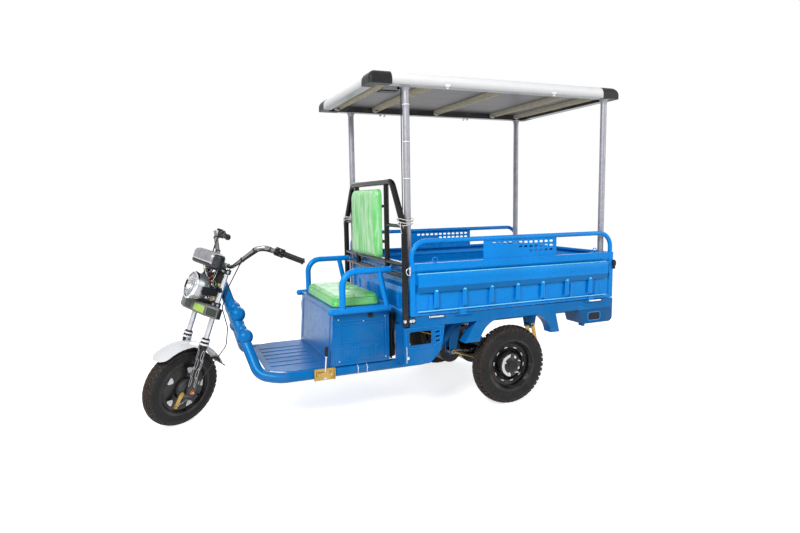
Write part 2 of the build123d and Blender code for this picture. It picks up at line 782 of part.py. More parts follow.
# ---- step boxes ahead of the rear wheels: a window in a raised frame and three slots behind it ----
step_front_x = -70.0
step_rear_x = 184.0
step_low = 335.0
step_heel_x = 85.0
step_wall = 4.0
step_in = rail_y + main_tube_d / 2 + 23.0
window_x = 30.0
window_z = 487.0
window_len = 136.0
window_h = 76.0
window_corner = 14.0
window_frame = 11.0
step_slot_x = 137.0
step_slot_z = 487.0
step_slot_pitch = 26.0
step_slot_len = 30.0
step_slot_h = 10.0
step_slot_lean = 10.0
step_outline = [
    ((step_front_x, beam_low), (step_rear_x, beam_low)),
    ((step_rear_x, beam_low), (step_rear_x - 13.0, beam_low - 80.0)),
    ((step_rear_x - 13.0, beam_low - 80.0), (step_rear_x - 42.0, beam_low - 160.0), (step_heel_x, step_low)),
    ((step_heel_x, step_low), (step_front_x, step_low)),
    ((step_front_x, step_low), (step_front_x, beam_low)),
]
with BuildPart() as step_boxes:
    for side in SIDES:
        outer = side * (bed_half - bed_in)
        inner = side * step_in
        side_form(step_outline, outer, inner)
        side_form(step_outline, outer - side * step_wall, inner - side * bed_in, wall=step_wall,
                  mode=Mode.SUBTRACT)
        face = Plane(origin=(0, outer, 0), x_dir=(1, 0, 0), z_dir=(0, side, 0))
        flip = -side
        frame_ridge(face, window_x, flip * window_z, window_len + 2 * window_frame,
                    window_h + 2 * window_frame,
                    window_frame / 2, ridge_h, window_corner)
        with BuildSketch(face) as holes:
            with Locations((window_x, flip * window_z)):
                RectangleRounded(window_len, window_h, window_corner)
            for i in SIDES + (0,):
                with Locations(Location((step_slot_x, flip * (step_slot_z + i * step_slot_pitch), 0),
                                        (0, 0, flip * step_slot_lean))):
                    SlotOverall(step_slot_len, step_slot_h)
        extrude(holes.sketch, amount=bracket_w / 4, both=True, mode=Mode.SUBTRACT)
finish(step_boxes, "step_boxes")

# ---- rear corner boxes with the tail lamps ----
corner_front_x = 1140.0
corner_toe_x = 1172.0
corner_low = 455.0
corner_round = 32.0
corner_in = riser_y + main_tube_d / 2 + 20.0
recess_x = 1262.0
recess_z = 500.0
recess_len = 74.0
recess_h = 36.0
recess_deep = 12.0
foot_len = 16.0
foot_h = 13.0
foot_w = 40.0
corner_outline = [
    ((corner_front_x, beam_low), (bed_rear_x, beam_low)),
    ((bed_rear_x, beam_low), (bed_rear_x, corner_low + corner_round)),
    ((bed_rear_x, corner_low + corner_round), (bed_rear_x - corner_round * quarter_arc_share,
                                               corner_low + corner_round * quarter_arc_share),
     (bed_rear_x - corner_round, corner_low)),
    ((bed_rear_x - corner_round, corner_low), (corner_toe_x, corner_low)),
    ((corner_toe_x, corner_low), (corner_front_x, beam_low)),
]
with BuildPart() as rear_corner_boxes:
    for side in SIDES:
        outer = side * (bed_half - bed_in)
        side_form(corner_outline, outer, side * corner_in)
        block(corner_toe_x, corner_toe_x + foot_len, outer, outer - side * foot_w, corner_low - foot_h,
              corner_low + bed_in)
        face = Plane(origin=(0, outer, 0), x_dir=(1, 0, 0), z_dir=(0, side, 0))
        with BuildSketch(face) as recess:
            with Locations((recess_x, -side * recess_z)):
                SlotOverall(recess_len, recess_h)
        extrude(recess.sketch, amount=-recess_deep, mode=Mode.SUBTRACT)
finish(rear_corner_boxes, "rear_corner_boxes")
lamp_t = 8.0
lamp_low = 478.0
lamp_high = 532.0
lamp_margin = 18.0
with BuildPart() as rear_lamps:
    for side in SIDES:
        block(bed_rear_x + seat_gap, bed_rear_x + lamp_t, side * (corner_in + lamp_margin),
              side * (bed_half - lamp_margin), lamp_low, lamp_high)
finish(rear_lamps, "rear_lamps")

# ---- rear axle, motor and leaf springs ----
diff_d = 200.0
diff_half = 60.0
hub_face = 57.0
shaft_d = 25.0
drum_plate_d = 176.0
drum_plate_t = 6.0
drum_plate_out = rear_track / 2 - 90.0
pad_half_x = 32.0
pad_half_y = 28.0
rod_pin_back = 58.0
rod_pin_d = 12.0
shaft_end = rear_track / 2 - 6.0
rod_y = riser_y + cheek_out + rod_out - rod_eye_w / 2 - bed_in
rod_pin = (rear_axle_x - rod_pin_back, rear_wheel_z)
with BuildPart() as rear_axle:
    bar((rear_axle_x, -drum_plate_out, rear_wheel_z), (rear_axle_x, drum_plate_out, rear_wheel_z),
        axle_tube_d)
    bar((rear_axle_x, -shaft_end, rear_wheel_z), (rear_axle_x, shaft_end, rear_wheel_z), shaft_d)
    bar((rear_axle_x, -diff_half, rear_wheel_z), (rear_axle_x, diff_half, rear_wheel_z), diff_d)
    for side in SIDES:
        plate_in_y = side * (drum_plate_out - drum_plate_t)
        bar((rear_axle_x, plate_in_y, rear_wheel_z), (rear_axle_x, side * drum_plate_out, rear_wheel_z),
            drum_plate_d)
        bar((rod_pin[0], side * (rod_y - rod_eye_w), rod_pin[1]), (rod_pin[0], plate_in_y, rod_pin[1]),
            rod_pin_d)
        block(rear_axle_x - pad_half_x, rear_axle_x + pad_half_x, side * (riser_y - pad_half_y),
              side * (riser_y + pad_half_y), rear_wheel_z, saddle_z)
finish(rear_axle, "rear_axle")
motor_d = 155.0
motor_back = diff_d / 2 + motor_d / 2 + seat_gap
motor_out = 150.0
with BuildPart() as motor:
    bar((rear_axle_x - motor_back, -diff_half, rear_wheel_z),
        (rear_axle_x - motor_back, motor_out, rear_wheel_z),
        motor_d)
finish(motor, "motor")

leaf_reach = (1.0, 0.74, 0.48)
with BuildPart() as leaf_springs:
    for side in SIDES:
        with BuildSketch(Plane.XZ.offset(-(side * riser_y + spring_w / 2))) as leaves:
            for i, share in enumerate(leaf_reach):
                inner_r = spring_camber + i * leaf_t
                first = degrees(asin(share * front_reach / inner_r))
                last = degrees(asin(share * rear_reach / inner_r))
                with BuildLine():
                    upper = CenterArc((rear_axle_x, camber_z), inner_r, 270 - first, first + last)
                    lower = CenterArc((rear_axle_x, camber_z), inner_r + leaf_t, 270 - first, first + last)
                    Line(upper @ 0, lower @ 0)
                    Line(upper @ 1, lower @ 1)
                make_face()
            with Locations(spring_front, spring_rear):
                Circle(eye_d / 2)
            with Locations(spring_front, spring_rear):
                Circle(eye_bolt_d / 2 + running_gap, mode=Mode.SUBTRACT)
        extrude(leaves.sketch, amount=spring_w)
finish(leaf_springs, "leaf_springs")
shackle_half = 13.0
shackle_over = 14.0
with BuildPart() as spring_shackles:
    for side in SIDES:
        outer = spring_w / 2 + 2 * cheek_gap + cheek_t
        for wall in SIDES:
            y = side * riser_y + wall * outer
            side_plate([(shackle_top[0] - shackle_half, shackle_top[1] + shackle_over),
                        (shackle_top[0] + shackle_half, shackle_top[1] + shackle_over),
                        (spring_rear[0] + shackle_half, spring_rear[1] - shackle_over),
                        (spring_rear[0] - shackle_half, spring_rear[1] - shackle_over)], y,
                        y + wall * cheek_t)
            bar((shackle_top[0], y - wall * cheek_t, shackle_top[1]),
                (shackle_top[0], y + wall * 2 * cheek_t, shackle_top[1]),
                eye_bolt_d + 2 * running_gap, mode=Mode.SUBTRACT)
        bar((spring_rear[0], side * riser_y - outer - cheek_t, spring_rear[1]),
            (spring_rear[0], side * riser_y + outer + cheek_t, spring_rear[1]), eye_bolt_d)
finish(spring_shackles, "spring_shackles")

# ---- axle rods from the front spring bolts to the brake plates ----
rod_d = 12.0
rod_eye_d = 26.0
with BuildPart() as axle_rods:
    for side in SIDES:
        bar((spring_front[0], side * rod_y, spring_front[1]), (rod_pin[0], side * rod_y, rod_pin[1]), rod_d)
        for (x, z), bolt in ((spring_front, eye_bolt_d), (rod_pin, rod_pin_d)):
            low = (x, side * (rod_y - rod_eye_w / 2), z)
            high = (x, side * (rod_y + rod_eye_w / 2), z)
            bar(low, high, rod_eye_d)
            bar(low, high, bolt + 2 * pin_gap, mode=Mode.SUBTRACT)
finish(axle_rods, "axle_rods")

# ---- parking brake lever on the left rail ----
brake_front_x = -550.0
brake_rear_x = -430.0
brake_half_h = 33.0
brake_t = 5.0
brake_flange = 14.0
lever_x = -488.0
lever_lean = 13.0
lever_h = 152.0
lever_d = 8.0
knob_d = 17.0
knob_len = 44.0
with BuildPart() as parking_brake:
    y = -(rail_y + main_tube_d / 2 + seat_gap)
    block(brake_front_x, brake_rear_x, y - brake_t, y, rail_z - brake_half_h, rail_z + brake_half_h)
    for x in (brake_front_x, brake_rear_x - brake_t):
        block(x, x + brake_t, y - brake_flange, y, rail_z - brake_half_h, rail_z + brake_half_h)
    middle_y = y - brake_flange / 2
    block(brake_front_x + brake_flange, brake_rear_x - brake_flange, y - brake_flange, y,
          rail_z - brake_flange,
          rail_z + brake_flange)
    root = Vector(lever_x, middle_y, rail_z)
    tip = Vector(lever_x + lever_lean, middle_y, rail_z + lever_h)
    bar(root, tip, lever_d)
    bar(tip + (root - tip).normalized() * knob_len, tip, knob_d)
finish(parking_brake, "parking_brake")

# ---- canopy ----
collar_h = 27.0
collar_out = 8.0
with BuildPart() as canopy_posts:
    for x in (post_front_x, post_rear_x):
        for side in SIDES:
            bar((x, side * post_y, beam_top + floor_t), (x, side * post_y, roof_bottom), post_d)
            with Locations((x, side * post_y, roof_bottom - collar_h)):
                Cone(post_d / 2, post_d / 2 + collar_out, collar_h,
                     align=(Align.CENTER, Align.CENTER, Align.MIN))
finish(canopy_posts, "canopy_posts")

roof_lap = 3.0
roof_corner = 16.0
roof_crown = 46.0
cap_grow = 2.0
edge_w = 58.0
corner_len = 130.0
roof_high = roof_top - roof_bottom
roof_mid_x = (roof_front_x + roof_rear_x) / 2


def roof_body(grow):
    """The canopy's rim: upright low down, rounded over to the top, open in the middle for the panel."""
    length = roof_rear_x - roof_front_x - 2 * roof_lap + 2 * grow
    width = 2 * roof_half - 2 * cap_grow + 2 * grow
    with BuildSketch(Plane.XY.offset(roof_bottom)) as base:
        with Locations((roof_mid_x, 0)):
            RectangleRounded(length, width, roof_corner + grow)
    extrude(base.sketch, amount=roof_high)


def rim_opening():
    """Cut the panel's place out of the rim."""
    block(roof_front_x + edge_w, roof_rear_x - edge_w, -roof_half + edge_w, roof_half - edge_w,
          roof_bottom - roof_lap, roof_top + roof_lap, mode=Mode.SUBTRACT)


with BuildPart() as canopy_edges:
    roof_body(0)
    fillet(canopy_edges.faces().sort_by(Axis.Z)[-1].edges(), roof_crown)
    rim_opening()
    for x in (roof_front_x, roof_rear_x):
        for y in (-roof_half, roof_half):
            block(x - corner_len, x + corner_len, y - corner_len, y + corner_len,
                  roof_bottom - roof_lap, roof_top + roof_lap, mode=Mode.SUBTRACT)
finish(canopy_edges, "canopy_edges")
with BuildPart() as canopy_corners:
    roof_body(cap_grow)
    fillet(canopy_corners.faces().sort_by(Axis.Z)[-1].edges(), roof_crown)
    rim_opening()
    block(roof_front_x + corner_len, roof_rear_x - corner_len, -roof_half - roof_lap, roof_half + roof_lap,
          roof_bottom - roof_lap, roof_top + roof_lap, mode=Mode.SUBTRACT)
    block(roof_front_x - roof_lap, roof_rear_x + roof_lap, -roof_half + corner_len, roof_half - corner_len,
          roof_bottom - roof_lap, roof_top + roof_lap, mode=Mode.SUBTRACT)
finish(canopy_corners, "canopy_corners")
panel_low_z = roof_bottom + 37.0
panel_high_z = roof_bottom + 65.0
junction_x = -90.0
junction_y = -300.0
junction_len = 120.0
junction_w = 86.0
junction_h = 24.0
with BuildPart() as solar_panel:
    block(roof_front_x + edge_w, roof_rear_x - edge_w, -roof_half + edge_w, roof_half - edge_w,
          panel_low_z, panel_high_z)
    block(junction_x, junction_x + junction_len, junction_y, junction_y + junction_w,
          panel_low_z - junction_h,
          panel_low_z)
finish(solar_panel, "solar_panel")
rib_w = 40.0
rib_h = 25.0
rib_xs = (-120.0, 160.0, 640.0, 1120.0, 1340.0)
with BuildPart() as canopy_ribs:
    for x in rib_xs:
        block(x - rib_w / 2, x + rib_w / 2, -roof_half + edge_w, roof_half - edge_w, panel_low_z - rib_h,
              panel_low_z)
        block(x - rib_w / 2 + sheet, x + rib_w / 2 - sheet, -roof_half + edge_w, roof_half - edge_w,
              panel_low_z - rib_h, panel_low_z - sheet, mode=Mode.SUBTRACT)
finish(canopy_ribs, "canopy_ribs")

# ---- fork ----
lamp_d = 150.0
indicator_top = -64.0
indicator_h = 60.0
stanchion_rise = 30.0
leg_x = -fork_offset
leg_y = leg_spacing / 2
stem_low = 10.0
stem_high = 24.0
crown_w = 60.0
crown_reach = 46.0
crown_round = 20.0
leg_round = 22.0
slider_foot = 22.0
slider_lap = 20.0
slider_top = -fork_drop - slider_foot + slider_len
ear_x = -102.0
ear_z = 10.0
ear_len = 110.0
ear_h = 44.0
ear_t = 4.0
tongue_x = -82.0
tongue_len = 56.0
tongue_w = 60.0
with BuildPart() as fork:
    with BuildSketch(steer.offset(head_low - stem_low)):
        Circle(stem_d / 2)
    extrude(amount=head_high - head_low + stem_high)
    for z in (head_low - knuckle_gap - crown_t, head_high + knuckle_gap):
        with BuildSketch(steer.offset(z)):
            with Locations((leg_x / 2, 0)):
                RectangleRounded(fork_offset + crown_reach, crown_w, crown_round)
            with Locations((leg_x, 0)):
                RectangleRounded(crown_reach, leg_spacing + crown_reach, leg_round)
        extrude(amount=crown_t)
    for side in SIDES:
        ear = turned(0, side * (lamp_d / 2 + seat_gap), 0, (1, 0, 0), (0, side, 0))
        with BuildSketch(ear) as ear_face:
            with Locations((ear_x, -side * ear_z)):
                Rectangle(ear_len, ear_h)
        extrude(ear_face.sketch, amount=ear_t)
        bar(at(leg_x, side * leg_y, slider_top - slider_lap),
            at(leg_x, side * leg_y, head_high + stanchion_rise),
            stanchion_d)
    with BuildSketch(steer.offset(indicator_top + seat_gap)):
        with Locations((tongue_x, 0)):
            Rectangle(tongue_len, tongue_w)
    extrude(amount=ear_t)
finish(fork, "fork")
collar_rings = (0.0, 22.0)
ring_h = 12.0
ring_d = 52.0
axle_d = 12.0
axle_out = 24.0
foot_d = 34.0
with BuildPart() as fork_legs:
    for side in SIDES:
        y = side * leg_y
        bar(at(leg_x, y, -fork_drop - slider_foot), at(leg_x, y, slider_top), slider_d)
        for drop in collar_rings:
            bar(at(leg_x, y, slider_top - drop - ring_h), at(leg_x, y, slider_top - drop), ring_d)
    bar(at(leg_x, -leg_y - axle_out, -fork_drop), at(leg_x, leg_y + axle_out, -fork_drop), axle_d)
    for side in SIDES:
        y = side * leg_y
        bar(at(leg_x, y, slider_top - slider_lap), at(leg_x, y, slider_top + seat_gap), stanchion_d,
            mode=Mode.SUBTRACT)
finish(fork_legs, "fork_legs")


# ---- wheels ----
def wheel_plane(centre, up, outward):
    """Profile plane of a wheel: x is the radius, y runs outward along the axle."""
    return Plane(origin=centre, x_dir=up, z_dir=up.cross(outward))


def turn_solid(plane, points):
    """Revolve a closed profile, given as (radius, way outward) points, about the axle."""
    with BuildSketch(plane) as section:
        with BuildLine():
            Polyline(*points, close=True)
        make_face()
    revolve(section.sketch, axis=Axis(plane.origin, plane.y_dir))


def tyre(plane, diameter, width):
    """A tyre as one round body from its beads to the crown of its tread."""
    r = diameter / 2
    bead = rim_seat_d / 2 + seat_gap
    foot = bead_share * width
    flange = bead + rim_flange_h + sheet
    shoulder = shoulder_share * width
    middle = (r + bead) / 2 + rim_lip_w
    with BuildSketch(plane) as section:
        with BuildLine():
            ThreePointArc((flange, foot), (middle, width / 2), (r - tread_drop, shoulder))
            ThreePointArc((r - tread_drop, shoulder), (r, 0), (r - tread_drop, -shoulder))
            ThreePointArc((r - tread_drop, -shoulder), (middle, -width / 2), (flange, -foot))
            Polyline((flange, -foot), (bead, -foot), (bead, foot), (flange, foot))
        make_face()
    revolve(section.sketch, axis=Axis(plane.origin, plane.y_dir))


def rim_barrel(plane, width):
    """The barrel of a rim with both flanges and the well between them."""
    r = rim_seat_d / 2
    foot = bead_share * width
    lip = foot + seat_gap
    edge = lip + rim_lip_w
    well = rim_well
    turn_solid(plane, [
        (r, -lip), (r + rim_flange_h, -lip), (r + rim_flange_h, -edge), (r - rim_lip_w, -edge),
        (r - rim_wall, -foot), (r - well, -foot + well), (r - well, foot - well), (r - rim_wall, foot),
        (r - rim_lip_w, edge), (r + rim_flange_h, edge), (r + rim_flange_h, lip), (r, lip),
        (r, foot - well / 2), (r - well + rim_wall, foot - well), (r - well + rim_wall, -foot + well),
        (r, -foot + well / 2)])


dish = [(60, -30), (78, -30), (92, -18), (104, 2), (118, 8), (132, 8), (137, 4), (137, -2), (128, 2),
        (119, 2),
        (108, -4), (96, -24), (81, -36), (60, -36)]
drum_r = 88.0
drum_wall = 8.0
drum_deep = 84.0
cap_r = 30.0
cap_back = 5.0
collar_r = 62.0
collar_low = 28.0
collar_high = 48.0
dish_back = 36.0
dish_front = 30.0
for side, word in ((LEFT, "left"), (RIGHT, "right")):
    centre = Vector(rear_axle_x, side * rear_track / 2, rear_wheel_z)
    plane = wheel_plane(centre, UP, Vector(0, side, 0))
    with BuildPart() as rear_tyre:
        tyre(plane, rear_tyre_d, rear_tyre_w)
    finish(rear_tyre, f"rear_tyre_{word}")
    with BuildPart() as rear_rim:
        rim_barrel(plane, rear_tyre_w)
        turn_solid(plane, dish)
        bore = shaft_d / 2 + cheek_gap
        turn_solid(plane, [
            (bore, -drum_deep), (cap_r, -drum_deep), (cap_r, -dish_back), (drum_r - drum_wall, -dish_back),
            (drum_r - drum_wall, -drum_deep), (drum_r, -drum_deep), (drum_r, -dish_front),
            (collar_r, -dish_front),
            (collar_r, collar_low), ((collar_r + cap_r) / 2 + drum_wall, collar_high - drum_wall),
            (cap_r, collar_high), (cap_r, hub_face), (0, hub_face), (0, -cap_back), (bore, -cap_back)])
    finish(rear_rim, f"rear_rim_{word}")

front_centre = at(leg_x, 0, -fork_drop)
front_plane = wheel_plane(front_centre, along(0, 0, 1), along(0, -1, 0))
front_disc = Plane(origin=front_centre, x_dir=along(1, 0, 0), z_dir=along(0, -1, 0))
hub_r = 60.0
hub_half = 40.0
web_half_in = 10.0
web_half_out = 6.0
web_r = rim_seat_d / 2 - rim_well + rim_flange_h / 7
spoke_count = 5
window_in_r = 84.0
window_out_r = 122.0
window_half = 25.0
window_round = 9.0
with BuildPart() as front_tyre:
    tyre(front_plane, front_tyre_d, front_tyre_w)
finish(front_tyre, "front_tyre")
with BuildPart() as front_rim:
    rim_barrel(front_plane, front_tyre_w)
    bore = axle_d / 2 + running_gap
    turn_solid(front_plane, [
        (bore, -hub_half), (hub_r, -hub_half), (hub_r, -web_half_in), (web_r, -web_half_out),
        (web_r, web_half_out),
        (hub_r, web_half_in), (hub_r, hub_half), (bore, hub_half)])
    with BuildSketch(front_disc) as windows:
        with PolarLocations(0, spoke_count):
            with BuildLine():
                Polyline((window_in_r, 0), (window_out_r, window_half), (window_out_r, -window_half),
                         close=True)
            make_face()
        fillet(windows.vertices(), window_round)
    extrude(windows.sketch, amount=hub_half, both=True, mode=Mode.SUBTRACT)
finish(front_rim, "front_rim")

# ---- front drum brake: backing plate and its arm ----
plate_r = 57.0
brake_side = -1
plate_in_face = hub_half + cheek_gap
plate_out_face = leg_y - slider_d / 2 - seat_gap
pivot_x = leg_x - 43.0
pivot_z = -fork_drop - 22.0
pivot_d = 18.0
pivot_out = 7.0
arm_end_x = pivot_x - 16.0
arm_end_z = pivot_z - 72.0
arm_t = 5.0
arm_w = 15.0
arm_pin_d = 9.0
arm_pin_len = 12.0
pin_y = plate_out_face + pivot_out + arm_pin_len / 2
with BuildPart() as front_brake:
    bar(at(leg_x, brake_side * plate_in_face, -fork_drop),
        at(leg_x, brake_side * plate_out_face, -fork_drop),
        2 * plate_r)
    bar(at(pivot_x, brake_side * plate_in_face, pivot_z),
        at(pivot_x, brake_side * (plate_out_face + pivot_out),
                                                            pivot_z), pivot_d)
    arm_face = turned(0, brake_side * (plate_out_face + pivot_out), 0, (1, 0, 0), (0, -brake_side, 0))
    with BuildSketch(arm_face) as arm:
        with BuildLine():
            Polyline((pivot_x - arm_w / 2, -pivot_z), (arm_end_x - arm_w / 2, -arm_end_z),
                     (arm_end_x + arm_w / 2, -arm_end_z), (pivot_x + arm_w / 2, -pivot_z), close=True)
        make_face()
        with Locations((pivot_x, -pivot_z), (arm_end_x, -arm_end_z)):
            Circle(arm_w / 2)
    extrude(arm.sketch, amount=arm_t)
    bar(at(arm_end_x, brake_side * plate_out_face, arm_end_z),
        at(arm_end_x, brake_side * (pin_y + arm_pin_len / 2), arm_end_z), arm_pin_d)
    bar(at(leg_x, 0, -fork_drop), at(leg_x, brake_side * leg_y, -fork_drop), axle_d + 2 * pin_gap,
        mode=Mode.SUBTRACT)
finish(front_brake, "front_brake")

# ---- front fender: a crowned sheet round the wheel, its flap and its stays ----
fender_r = front_tyre_d / 2 + 36.0
fender_half = leg_y - slider_d / 2 - seat_gap
fender_crown = 13.0
fender_t = 3.0
fender_start = 57.0
fender_span = 90.0
nose_round = 50.0
fender_root = along(cos(radians(fender_start)), 0, sin(radians(fender_start)))
flap_len = 88.0
flap_half = 38.0
flap_tip_half = 16.0
flap_out = 24.0
stay_w = 30.0
stay_h = 60.0
stay_t = 3.2
with BuildPart() as front_fender:
    edge_r = fender_r - fender_crown
    with BuildSketch(wheel_plane(front_centre, fender_root, along(0, -1, 0))) as section:
        with BuildLine():
            ThreePointArc((edge_r, fender_half), (fender_r, 0), (edge_r, -fender_half))
            Line((edge_r, -fender_half), (edge_r - fender_t, -fender_half))
            ThreePointArc((edge_r - fender_t, -fender_half), (fender_r - fender_t, 0),
                          (edge_r - fender_t, fender_half))
            Line((edge_r - fender_t, fender_half), (edge_r, fender_half))
        make_face()
    revolve(section.sketch, axis=Axis(front_centre, along(0, -1, 0)), revolution_arc=fender_span)
    nose_turn = radians(fender_start + fender_span)
    nose_up = along(cos(nose_turn), 0, sin(nose_turn))
    nose = Plane(origin=front_centre + nose_up * fender_r, x_dir=along(0, 1, 0), z_dir=nose_up)
    nose_forward = nose.to_local_coords(nose.origin + along(-sin(nose_turn), 0, cos(nose_turn))).Y
    with BuildSketch(nose) as corners:
        with Locations((0, -nose_forward * nose_round / 2)):
            Rectangle(2 * fender_half + nose_round, nose_round)
        with Locations((0, -nose_forward * nose_round)):
            RectangleRounded(2 * fender_half, 2 * nose_round, nose_round - sheet, mode=Mode.SUBTRACT)
    extrude(corners.sketch, amount=nose_round, both=True, mode=Mode.SUBTRACT)
    radial = Vector(cos(radians(fender_start)), 0, sin(radians(fender_start)))
    tangent = Vector(sin(radians(fender_start)), 0, -cos(radians(fender_start)))
    root = Vector(leg_x, 0, -fork_drop) + radial * (fender_r - fender_t) - tangent * sheet
    fall = tangent * flap_len + radial * flap_out
    flap = Plane(origin=at(root.X, root.Y, root.Z), x_dir=along(0, 1, 0),
                 z_dir=along(0, 1, 0).cross(along(fall.X, fall.Y, fall.Z)))
    reach = fall.length
    prism(flap, [(-flap_half, 0), (flap_half, 0), (flap_half, reach * shoulder_share),
                 (flap_tip_half, reach),
                 (-flap_tip_half, reach), (-flap_half, reach * shoulder_share)], fender_t)
    for side in SIDES:
        with BuildSketch(turned(leg_x, side * fender_half, 0, (1, 0, 0), (0, side, 0))) as stay:
            with Locations((0, side * (fork_drop - edge_r + stay_h / 3))):
                Rectangle(stay_w, stay_h)
        extrude(stay.sketch, amount=-stay_t)
finish(front_fender, "front_fender")

# ---- handlebar with grips, switch boxes and levers ----
riser_gap = 14.0
clamp_z = head_high + knuckle_gap + crown_t + riser_gap
clamp_y = 20.0
clamp_d = 20.0
bar_bend = 40.0
bar_path = [
    (8.0, 0.0, clamp_z),
    (12.0, 55.0, clamp_z),
    (30.0, 180.0, clamp_z + 147.0),
    (56.0, 222.0, clamp_z + 170.0),
    (255.0, 340.0, clamp_z + 152.0),
]
with BuildPart() as handlebar:
    for side in SIDES:
        tube([at(x, side * y, z) for x, y, z in bar_path], bar_d, bend=bar_bend)
        bar(at(bar_path[0][0], side * clamp_y, clamp_z - riser_gap + seat_gap),
            at(bar_path[0][0], side * clamp_y, clamp_z), clamp_d)
finish(handlebar, "handlebar")


def on_grip(way, forward=0.0, up=0.0):
    """A local point measured back from the bar's tip along the grip, then forward and up from its axis."""
    tip = Vector(*bar_path[-1])
    back = (Vector(*bar_path[-2]) - tip).normalized()
    ahead = Vector(back.X, back.Y, 0).cross(UP).normalized()
    return tip + back * way + ahead * forward + UP * up


def mirrored(point, side):
    """A local point on one side of the steering frame, as a point of the row."""
    return at(point.X, side * point.Y, point.Z)


grip_len = 122.0
grip_d = 33.0
grip_gap = 0.1
switch_start = grip_len + 4.0
switch_len = 44.0
switch_w = 40.0
switch_h = 50.0
switch_round = 8.0
lever_root = 20.0
lever_forward = 46.0
lever_tip_forward = 38.0
lever_rod_d = 10.0
lever_bend = 16.0
with BuildPart() as grips:
    for side in SIDES:
        bar(mirrored(on_grip(-knuckle_gap), side), mirrored(on_grip(grip_len), side), grip_d)
        bar(mirrored(on_grip(-knuckle_gap), side), mirrored(on_grip(grip_len), side), bar_d + 2 * grip_gap,
            mode=Mode.SUBTRACT)
finish(grips, "grips")
with BuildPart() as hand_controls:
    for side in SIDES:
        near = mirrored(on_grip(switch_start), side)
        far = mirrored(on_grip(switch_start + switch_len), side)
        upward = along(0, 0, 1)
        with BuildSketch(Plane(origin=near, x_dir=(far - near).cross(upward), z_dir=far - near)) as box:
            RectangleRounded(switch_w, switch_h, switch_round)
        extrude(box.sketch, amount=switch_len)
        lever_points = (on_grip(switch_start + switch_len / 2, switch_w / 2 - lever_rod_d / 2),
                        on_grip(switch_start + switch_len / 2, lever_forward), on_grip(0, lever_tip_forward))
        tube([mirrored(point, side) for point in lever_points], lever_rod_d, bend=lever_bend)
        bar(near, far, bar_d + 2 * grip_gap, mode=Mode.SUBTRACT)
finish(hand_controls, "hand_controls")

# ---- front brake cable from the left lever down behind the fork to the brake arm ----
cable_d = 6.0
cable_out = leg_y + 31.0
cable_way = switch_start + switch_len - lever_rod_d
cable_lead = 30.0
cable_start = on_grip(cable_way, switch_w / 2 + seat_gap)
cable_leave = on_grip(cable_way, switch_w / 2 + cable_lead)
cable_last = 44.0
cable_in = Vector(-0.5, 0, -0.85).normalized()
cable_end = Vector(arm_end_x, brake_side * pin_y, arm_end_z) - cable_in * (arm_pin_d / 2 + seat_gap)
cable_points = [
    (cable_start.X, -cable_start.Y, cable_start.Z),
    (cable_leave.X, -cable_leave.Y, cable_leave.Z),
    (14.0, -236.0, clamp_z + 151.0),
    (-4.0, -cable_out - 20.0, clamp_z + 43.0),
    (-18.0, -cable_out, 60.0),
    (-18.0, -cable_out, head_low - 20.0),
    (72.0, -cable_out + 6.0, -175.0),
    (98.0, -cable_out + 2.0, -280.0),
    (34.0, -cable_out, -405.0),
    (-14.0, -cable_out - 4.0, -490.0),
    (-16.0, -cable_out - 4.0, -fork_drop - 24.0),
    (cable_end.X - cable_in.X * cable_last, cable_end.Y, cable_end.Z - cable_in.Z * cable_last),
    (cable_end.X, cable_end.Y, cable_end.Z),
]
cable_bend = (20.0, 26.0, 60.0, 60.0, 45.0, 60.0, 50.0, 60.0, 50.0, 30.0, 22.0)
with BuildPart() as front_brake_cable:
    tube([at(x, y, z) for x, y, z in cable_points], cable_d, bend=cable_bend)
finish(front_brake_cable, "front_brake_cable")

# ---- lamp, indicators, horn and instrument cluster ----
lamp_x = -172.0
lamp_z = 22.0
lamp_dip = 0.12
lamp_rim = 40.0
lamp_deep = 105.0
lamp_back_r = 18.0
lens_inset = 6.0
lens_t = 8.0
lamp_waist = 0.74
lamp_waist_deep = 0.67
lamp_plane = turned(lamp_x, 0, lamp_z, (0, 1, 0), (-1, 0, lamp_dip))
lamp_profile = Plane(origin=lamp_plane.origin, x_dir=lamp_plane.x_dir, z_dir=lamp_plane.y_dir)
with BuildPart() as headlight:
    r = lamp_d / 2
    with BuildSketch(lamp_profile) as bowl:
        with BuildLine():
            Polyline((lamp_back_r, lamp_deep), (0, lamp_deep), (0, 0), (r, 0), (r, lamp_rim))
            ThreePointArc((r, lamp_rim), (r * lamp_waist,
                                          lamp_rim + (lamp_deep - lamp_rim) * lamp_waist_deep),
                          (lamp_back_r, lamp_deep))
        make_face()
    revolve(bowl.sketch, axis=Axis(lamp_plane.origin, lamp_plane.z_dir))
finish(headlight, "headlight")
with BuildPart() as headlight_lens:
    with BuildSketch(lamp_plane.offset(seat_gap)) as face:
        Circle(lamp_d / 2 - lens_inset)
    extrude(face.sketch, amount=lens_t)
finish(headlight_lens, "headlight_lens")
unit_front_x = -114.0
unit_mid_x = -80.0
unit_back_x = leg_x - crown_reach / 2 - seat_gap
unit_front_half = 96.0
unit_half = 160.0
unit_round = 7.0
with BuildPart() as indicator_unit:
    prism(steer.offset(indicator_top - indicator_h),
          [(unit_front_x, -unit_front_half), (unit_front_x, unit_front_half), (unit_mid_x, unit_half),
           (unit_back_x, unit_half), (unit_back_x, -unit_half), (unit_mid_x, -unit_half)],
          indicator_h, unit_round)
finish(indicator_unit, "indicator_unit")
cluster_len = 108.0
cluster_w = 205.0
cluster_low = 143.0
cluster_h = 84.0
cluster_round = 50.0
cluster_edge = 10.0
